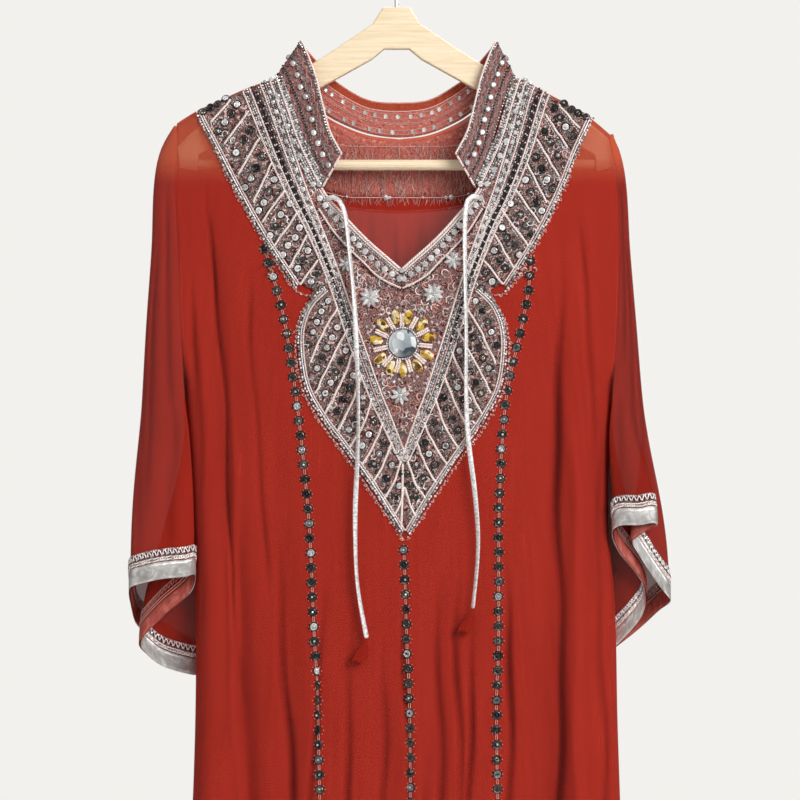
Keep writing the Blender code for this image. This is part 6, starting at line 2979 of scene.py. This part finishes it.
@dataclass
class StandCollar:
    """The stand collar: chiffon, worked on its outside, with the stitches' reverse inside."""

    cut: Pair = (0.50, 0.05)
    cut_area: float = 0.02
    outside_lift: float = 0.9
    panel_columns: int = 120
    panel_rows: int = 8
    cord_steps: int = 420
    edge_up: float = 0.985
    end_steps: int = 30
    waves: tuple[float, ...] = (0.09, 0.17, 0.25, 0.33, 0.41, 0.63, 0.71, 0.79, 0.87)
    wave_height: float = 0.034
    wave_turns: Pair = (0.25, 1.15)
    wave_start: float = 0.004
    wave_length: float = 0.992
    bead_pitch: float = 2.9
    stones: int = 44
    stone_size: float = 2.9
    stone_up: float = 0.52
    stone_wander: float = 0.04
    stone_start: float = 0.012
    stone_length: float = 0.976

    def build(self, wardrobe: Wardrobe) -> Pieces:
        """Make the collar.

        Args:
            wardrobe: The finishes.

        Returns:
            The pieces.
        """
        surface = CollarSurface()
        points, faces, uvs = grid_sheet(surface.rows)
        faces = turned_outward(points, faces, surface.normals.reshape(-1, 3)[faces[:, 0]])
        bank = MeshBank()
        # A tone of 0.1 darkens the collar cloth a little through the chiffon's painted crease shade.
        bank.add(points, faces, uvs, 0.1)
        cloth = bank.build("cloth_collar", wardrobe.chiffon, wall=CLOTH_WALL)
        ground = self.panel(surface, 0.0, 1.0, 0.02, 0.98, 0.55, "collar_ground", wardrobe.collar_ground)
        reverse = self.panel(surface, 0.14, 0.86, 0.02, 0.76, -0.5, "collar_reverse", wardrobe.reverse)
        pieces = [cloth, ground, reverse]
        pieces += self.outside(surface, wardrobe)
        pieces += CollarReverse().build(surface, wardrobe)
        for piece in pieces:
            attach(piece, "root")
        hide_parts("collar")
        return pieces

    def panel(self, surface: CollarSurface, start: float, end: float, low: float, high: float, lift: float,
              name: str, material: bpy.types.Material) -> bpy.types.Object:
        """A worked panel on one side of the collar.

        Args:
            surface: The collar.
            start: First share round.
            end: Last share round.
            low: Lower share up.
            high: Upper share up.
            lift: Distance from the cloth, negative inside.
            name: The piece's name.
            material: Its finish.

        Returns:
            The panel.
        """
        rows, normals = [], []
        for level in range(self.panel_rows + 1):
            up = low + (high - low) * level / self.panel_rows
            line, ways = surface.course(up, lift, start, end, self.panel_columns)
            rows.append(line)
            normals += [tuple(way) for way in ways]
        points, faces, uvs = grid_sheet(rows)
        faces = turned_outward(points, faces, np.array(normals)[faces[:, 0]] * math.copysign(1.0, lift))
        bank = MeshBank()
        bank.add(points, faces, uvs)
        return bank.build(name, material, wall=0.3)

    def outside(self, surface: CollarSurface, wardrobe: Wardrobe) -> Pieces:
        """Cords, beads and clear stones on the outside.

        Args:
            surface: The collar.
            wardrobe: The finishes.

        Returns:
            The pieces.
        """
        cords, silver_cords, silver, jet, stones = (MeshBank() for _ in range(5))
        notions = Notions.shared()
        chance = random.Random(17)
        line, normals = surface.course(self.edge_up, self.outside_lift, 0.0, 1.0, self.cord_steps)
        for end_share in (0.0, 1.0):
            rise = [surface.place(end_share, up / self.end_steps) for up in range(self.end_steps + 1)]
            side = [place + normal * self.outside_lift for place, normal in rise]
            turn = [normal for _, normal in rise]
            if end_share:
                line, normals = line + side[::-1], normals + turn[::-1]
            else:
                line, normals = side + line, turn + normals
        CordShape(radius=1.15, sides=6, pitch=4.3).add_to(cords, line, normals, 0.85)
        wave = CordShape(radius=0.5, section=Section.ROUND, sides=4)
        for index, up in enumerate(self.waves):
            places, phase = [], 0.0
            for step in range(self.cord_steps + 1):
                phase += chance.uniform(*self.wave_turns)
                high = up + self.wave_height * math.sin(phase)
                share = self.wave_start + self.wave_length * step / self.cord_steps
                places.append(surface.place(share, high))
            line = [place + normal * self.outside_lift for place, normal in places]
            normals = [normal for _, normal in places]
            wave.add_to(cords if index % 3 == 1 else silver_cords, line, normals, 0.1 + 0.2 * (index % 2))
        for up, bank, tone in ((0.04, silver, 0.5), (0.30, jet, 0.4), (0.58, jet, 0.35), (0.93, silver, 0.5)):
            course = surface.course(up, self.outside_lift + 0.6, 0.0, 1.0, self.cord_steps)
            for place, normal in spaced(course, self.bead_pitch):
                notions.bead.stamp(bank, place, normal, 1.0, tone + chance.uniform(-0.45, 0.45))
        for index in range(self.stones):
            share = self.stone_start + self.stone_length * index / (self.stones - 1)
            up = self.stone_up + chance.uniform(-self.stone_wander, self.stone_wander)
            place, normal = surface.place(share, up)
            shade = 0.4 + chance.uniform(-0.4, 0.4)
            seat = place + normal * (self.outside_lift + 0.9)
            notions.stone.stamp(stones, seat, normal, self.stone_size, shade, Vector((0.3, 0.1, 1)))
        return [
            cords.build("collar_edge_cord", wardrobe.cord),
            silver_cords.build("collar_silver_cords", wardrobe.silver_cord),
            silver.build("collar_silver_beads", wardrobe.silver, False),
            jet.build("collar_jet_beads", wardrobe.black, False),
            stones.build("collar_stones", wardrobe.crystal, False),
        ]


@dataclass
class CollarReverse:
    """The reverse of the stitches, on the inside of the collar and of the back yoke."""

    rows: tuple[float, ...] = (0.74, 0.66, 0.52, 0.40, 0.36, 0.20, 0.08)
    sequins: tuple[tuple[float, int], ...] = ((0.58, 30), (0.14, 26))
    lines: tuple[tuple[float, float, float], ...] = ((-188, 84.0, 0.4), (-204, 84.0, 0.4), (-237, 72.0, 0.8))
    knots: tuple[Pair, ...] = (
        (-52, 1.6), (-14, 3.1), (-10, 1.8), (22, 1.5), (44, 2.0), (49, 2.9), (66, 1.6),
    )
    middle_z: float = -210.0
    foot: float = -237.0
    foot_half: float = 72.0
    sheet_half: float = 86.0
    sheet_foot: float = -236.0
    stitches: int = 480
    loops: int = 90

    def build(self, surface: CollarSurface, wardrobe: Wardrobe) -> Pieces:
        """Make the reverse.

        Args:
            surface: The collar.
            wardrobe: The finishes.

        Returns:
            The pieces.
        """
        ground, thread, backs = MeshBank(), MeshBank(), MeshBank()
        chance = random.Random(29)
        self.sheet(ground)
        self.collar_rows(surface, thread, backs, chance)
        self.back_rows(thread, chance)
        for reach, size in self.knots:
            x = FORM.centre_x(-235) + reach
            place = FORM.lifted(x, self.drop(x, self.foot), Face.BACK, -1.2)
            Notions.shared().bead.stamp(backs, place, INWARD, size, 1.4)
        return [
            ground.build("yoke_reverse", wardrobe.reverse, wall=0.2),
            thread.build("reverse_stitches", wardrobe.reverse_thread),
            backs.build("reverse_sequins", wardrobe.crystal, False),
        ]

    def sheet(self, ground: MeshBank) -> None:
        """The sheet that shows between the stitches, inside the back yoke.

        Args:
            ground: Where the sheet goes.
        """
        rows = []
        for level in range(13):
            row = []
            for step in range(81):
                x = FORM.centre_x(self.middle_z) + self.sheet_half * (step / 40 - 1)
                high = BACK_NECK.at("z", abs(x - FORM.centre_x(-181))) - 3.0
                z = high + (self.drop(x, self.sheet_foot) - high) * level / 12
                row.append(FORM.lifted(x, z, Face.BACK, -0.45))
            rows.append(row)
        points, faces, _ = grid_sheet(rows)
        faces = turned_outward(points, faces, np.array(INWARD))
        ground.add(points, faces, points[:, [0, 2]] * MM)

    def collar_rows(self, surface: CollarSurface, thread: MeshBank, backs: MeshBank,
                    chance: random.Random) -> None:
        """Rows of thread and the backs of the sequins inside the collar.

        Args:
            surface: The collar.
            thread: Where the thread goes.
            backs: Where the backs go.
            chance: The random draws.
        """
        strand = CordShape(radius=0.5, section=Section.ROUND, sides=5)
        for up in self.rows:
            places = [surface.place(0.15 + 0.70 * step / 200, up) for step in range(201)]
            strand.add_to(thread, [place - normal * 0.8 for place, normal in places],
                          [-normal for _, normal in places], 0.75 if up == self.rows[0] else 0.3)
        for up, count in self.sequins:
            for index in range(count):
                place, normal = surface.place(0.17 + 0.66 * (index + chance.uniform(-0.3, 0.3)) / count, up)
                shade = 0.35 + chance.uniform(-0.3, 0.5)
                Notions.shared().sequin.stamp(backs, place - normal, -normal, 2.1, shade)

    def back_rows(self, thread: MeshBank, chance: random.Random) -> None:
        """Rows, long stitches and loose loops of thread inside the back yoke.

        Args:
            thread: Where the thread goes.
            chance: The random draws.
        """
        strand = CordShape(radius=0.5, section=Section.ROUND, sides=5)
        hair = CordShape(radius=0.28, section=Section.ROUND, sides=3)
        for z, reach, tone in self.lines:
            row = [FORM.centre_x(z) - reach + 2 * reach * step / 90 for step in range(91)]
            points = [FORM.lifted(x, self.drop(x, z), Face.BACK, -0.6) for x in row]
            strand.add_to(thread, points, [INWARD] * len(points), tone)
        for _ in range(self.stitches):
            x = FORM.centre_x(self.middle_z) + chance.uniform(-84, 84)
            z = self.drop(x, chance.uniform(-234, -190))
            lean = chance.uniform(-4.5, 4.5)
            high = chance.uniform(7, 17)
            points = []
            for run in (0, 0.25, 0.5, 0.75, 1.0):
                aside = x + lean * run + 1.4 * math.sin(run * 5 + x)
                slack = -0.9 - 0.7 * math.sin(run * math.pi)
                points.append(FORM.lifted(aside, z - high * run + high * 0.5, Face.BACK, slack))
            hair.add_to(thread, points, [INWARD] * len(points), chance.uniform(0.2, 0.9))
        for index in range(self.loops):
            x = FORM.centre_x(self.foot) - self.foot_half + 2 * self.foot_half * index / (self.loops - 1)
            z = self.drop(x, self.foot)
            loop = ((0.0, 0.0), (chance.uniform(-2, 2), 3.0),
                    (chance.uniform(-3, 3), 4 + chance.uniform(0, 5)))
            points = [FORM.lifted(x + aside, z - down, Face.BACK, -0.8) for aside, down in loop]
            hair.add_to(thread, points, [INWARD] * len(points), chance.uniform(0.2, 0.8))

    @staticmethod
    def drop(x: float, z: float) -> float:
        """Height of a row that follows the back neck's curve."""
        reach = abs(x - FORM.centre_x(z))
        return z + max(0.0, (reach - 40.0) / 44.0) ** 2 * 10.0


@dataclass
class BackYokeWork:
    """The worked back of the yoke. A line is a share of its height and a tone."""

    lift: float = OVER_GROUND
    cord_lines: tuple[Pair, ...] = ((0.02, 0.85), (0.34, 0.8), (0.98, 0.85))
    silver_lines: tuple[Pair, ...] = ((0.08, 0.5), (0.26, 0.6), (0.92, 0.6))
    ribs: int = 9
    rib_foot: float = 0.40
    rib_top: float = 0.88
    rib_lean: float = 0.45
    sequin_shares: Triple = (0.2, 0.5, 0.8)
    sequin_size: float = 3.2

    def build(self, wardrobe: Wardrobe) -> Pieces:
        """Make the work.

        Args:
            wardrobe: The finishes.

        Returns:
            The pieces.
        """
        work = Embroidery("back_yoke", Face.BACK, chance=random.Random(31))
        for hand in Hand:
            for share, tone in self.cord_lines:
                work.lay(work.cords, mirrored(self.line(share), hand), radius=1.1, lift=self.lift, tone=tone)
            for share, tone in self.silver_lines:
                work.lay(work.silver_cords, mirrored(self.line(share), hand),
                         radius=1.15, lift=self.lift, tone=tone)
            work.bead_row(work.jet, mirrored(self.line(0.20), hand),
                          size=1.2, pitch=2.5, lift=self.lift, tone=0.4)
            work.bead_row(work.silver, mirrored(self.line(0.14), hand),
                          size=1.0, pitch=2.4, lift=self.lift, tone=0.5)
            work.bead_row(work.silver, mirrored(self.line(1.02), hand),
                          size=1.2, pitch=3.0, lift=self.lift - 0.8, tone=0.5, wander=0.3)
            inner = self.shared_out(mirrored(self.line(self.rib_foot), hand), 0.0)
            outer = self.shared_out(mirrored(self.line(self.rib_top), hand), self.rib_lean)
            count = len(inner)
            for index in range(count):
                start, end = inner[index], outer[index]
                work.lay(work.cords, ((start.x, start.z), (end.x, end.z)),
                         radius=0.95, lift=self.lift, tone=0.85, sides=6, spacing=1.1)
                if index + 1 < count:
                    middle_in = start.lerp(inner[index + 1], 0.5)
                    middle_out = end.lerp(outer[index + 1], 0.5)
                    for share in self.sequin_shares:
                        spot = middle_in.lerp(middle_out, share)
                        dark = work.chance.choice((PALE, DARK))
                        work.sequin(spot.x, spot.z, self.sequin_size, self.lift, dark)
        return work.build(wardrobe)

    @staticmethod
    def line(share: float) -> list[Pair]:
        """A line across the back yoke, at a share of its height."""
        return [(span.inner_reach + (span.outer_reach - span.inner_reach) * share,
                 span.inner_z + (span.outer_z - span.inner_z) * share) for span in YOKE_BACK]

    def shared_out(self, line: Line, lead: float) -> list[Vector]:
        """Places spread evenly along a line.

        Args:
            line: Places across and heights, in mm.
            lead: Share of the spacing that they are moved on by.

        Returns:
            The places.
        """
        close = place_line(line, 0.8)
        last = len(close) - 1
        places = [min(last, round((index + lead) / self.ribs * last)) for index in range(self.ribs + 1)]
        return [close[place][0] for place in places]


def dress_solid(name: str, material: bpy.types.Material) -> None:
    """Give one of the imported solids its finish."""
    materials = bpy.data.objects[name].data.materials
    materials.clear()
    materials.append(material)


@dataclass
class Hanger:
    """The flat pine hanger, its trouser bar and its hook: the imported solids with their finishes."""

    wooden: tuple[str, ...] = ("hanger_arms", "hanger_bar")

    def dress(self, wardrobe: Wardrobe) -> None:
        """Give the solids their finishes."""
        for name in self.wooden:
            dress_solid(name, wardrobe.pine)
        dress_solid("hanger_hook", wardrobe.steel)


@dataclass
class SetStones:
    """The large stone and its yellow petals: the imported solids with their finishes."""

    petals: int = 11

    def dress(self, wardrobe: Wardrobe) -> None:
        """Give the stones their finishes."""
        dress_solid("centre_stone", wardrobe.grey_stone)
        for index in range(self.petals):
            dress_solid("petal_stone_%02d" % (index + 1), wardrobe.amber)


@dataclass
class Stage:
    """Floor, light and camera of the studio."""

    eye: Triple = (0.00336, -2.6, -0.4325)
    lens: float = 121.9
    sensor: float = 36.0
    floor_z: float = -1.60
    floor_radius: float = 2.2
    paper: tuple[float, ...] = (0.896, 0.879, 0.847, 1.0)
    room: Sequence[tuple[float, Colour]] = (
        (0.0, (0.34, 0.33, 0.32)), (0.25, (0.55, 0.54, 0.52)), (0.8, (1.0, 0.99, 0.97)),
    )
    room_strength: float = 0.60

    def place_camera(self) -> None:
        """Set the camera at the photograph's angle."""
        data = bpy.data.cameras.new("camera")
        data.lens = self.lens
        data.sensor_width = self.sensor
        camera = bpy.data.objects.new("camera", data)
        camera.location = self.eye
        camera.rotation_euler = (math.pi / 2, 0.0, 0.0)
        bpy.context.scene.collection.objects.link(camera)
        bpy.context.scene.camera = camera

    def build(self, wardrobe: Wardrobe) -> None:
        """Make the floor, the lamps and the surrounding light.

        Args:
            wardrobe: The finishes.
        """
        deselect_all()
        bpy.ops.mesh.primitive_circle_add(vertices=96, radius=self.floor_radius, fill_type="NGON",
                                          location=(0, 0, self.floor_z))
        floor = bpy.context.object
        floor.name = "floor"
        floor.data.materials.append(wardrobe.paper)
        for name, place, aim, size, power in (
            ("key", (1.8, -2.5, 1.0), (0, 0, -0.5), 1.9, 102.0),
            ("fill", (-2.3, -2.4, 0.3), (0, 0, -0.6), 2.0, 8.0),
            ("rim", (0.6, 2.4, 1.6), (0, 0, -0.5), 1.6, 34.0),
        ):
            data = bpy.data.lights.new(name, "AREA")
            data.size = size
            data.energy = power
            lamp = bpy.data.objects.new(name, data)
            lamp.location = place
            lamp.rotation_euler = (Vector(aim) - Vector(place)).to_track_quat("-Z", "Y").to_euler()
            bpy.context.scene.collection.objects.link(lamp)
        self.surround()

    def surround(self) -> None:
        """Pale paper behind the piece, and a softly graded room for what shines."""
        world = bpy.data.worlds.new("studio")
        bpy.context.scene.world = world
        world.use_nodes = True
        world.node_tree.nodes.clear()
        work = NodeWork(world.node_tree)
        paper = work.add("ShaderNodeBackground", {"Color": self.paper, "Strength": 1.0})
        around = work.add("ShaderNodeTexCoord", {}).outputs["Generated"]
        height = work.add("ShaderNodeSeparateXYZ", {0: around})
        room = work.add("ShaderNodeBackground", {"Color": work.ramp(height.outputs["Z"], self.room),
                                                 "Strength": self.room_strength})
        seen = work.add("ShaderNodeLightPath", {}).outputs["Is Camera Ray"]
        mix = work.add("ShaderNodeMixShader", {0: seen, 1: room.outputs[0], 2: paper.outputs[0]})
        work.add("ShaderNodeOutputWorld", {"Surface": mix.outputs[0]})
        bpy.context.scene.view_settings.view_transform = "Standard"


def main() -> None:
    """Build every sub-assembly and report each piece."""
    logging.basicConfig(level=logging.INFO, format="%(name)s: %(message)s")
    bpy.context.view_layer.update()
    stage = Stage()
    stage.place_camera()
    wardrobe = Wardrobe()
    for hand, tone, roll in ((Hand.LEFT, 0.25, 0.021), (Hand.RIGHT, 0.5, 0.012)):
        Drawstring(hand, STRINGS[hand], tone, roll).build(wardrobe)
    BodyPanel(Face.FRONT, columns=226, rows=104).build(wardrobe)
    BodyPanel(Face.BACK, columns=180, rows=92).build(wardrobe)
    Sleeve(Hand.LEFT, LEFT_HEM, LEFT_RIPPLES, (0.19, 0.53), 0.056).build(wardrobe)
    Sleeve(Hand.RIGHT, RIGHT_HEM, RIGHT_RIPPLES, (0.18, 0.51), 0.049).build(wardrobe)
    StandCollar().build(wardrobe)
    YokeGround(Face.FRONT, YOKE_FRONT).build(wardrobe)
    YokeGround(Face.BACK, YOKE_BACK, steps=5).build(wardrobe)
    for hand in Hand:
        RopeBand(hand).build(wardrobe)
        LeafWork(hand).build(wardrobe)
        NeckEdging(hand).build(wardrobe)
    CentreField().build(wardrobe)
    BackYokeWork().build(wardrobe)
    for name, line, seed in zip(("left", "centre", "right"), CHAINS, (3, 8, 14)):
        SequinChain(name, line, seed=seed).build(wardrobe)
    SetStones().dress(wardrobe)
    Hanger().dress(wardrobe)
    stage.build(wardrobe)


if __name__ == "__main__":
    main()
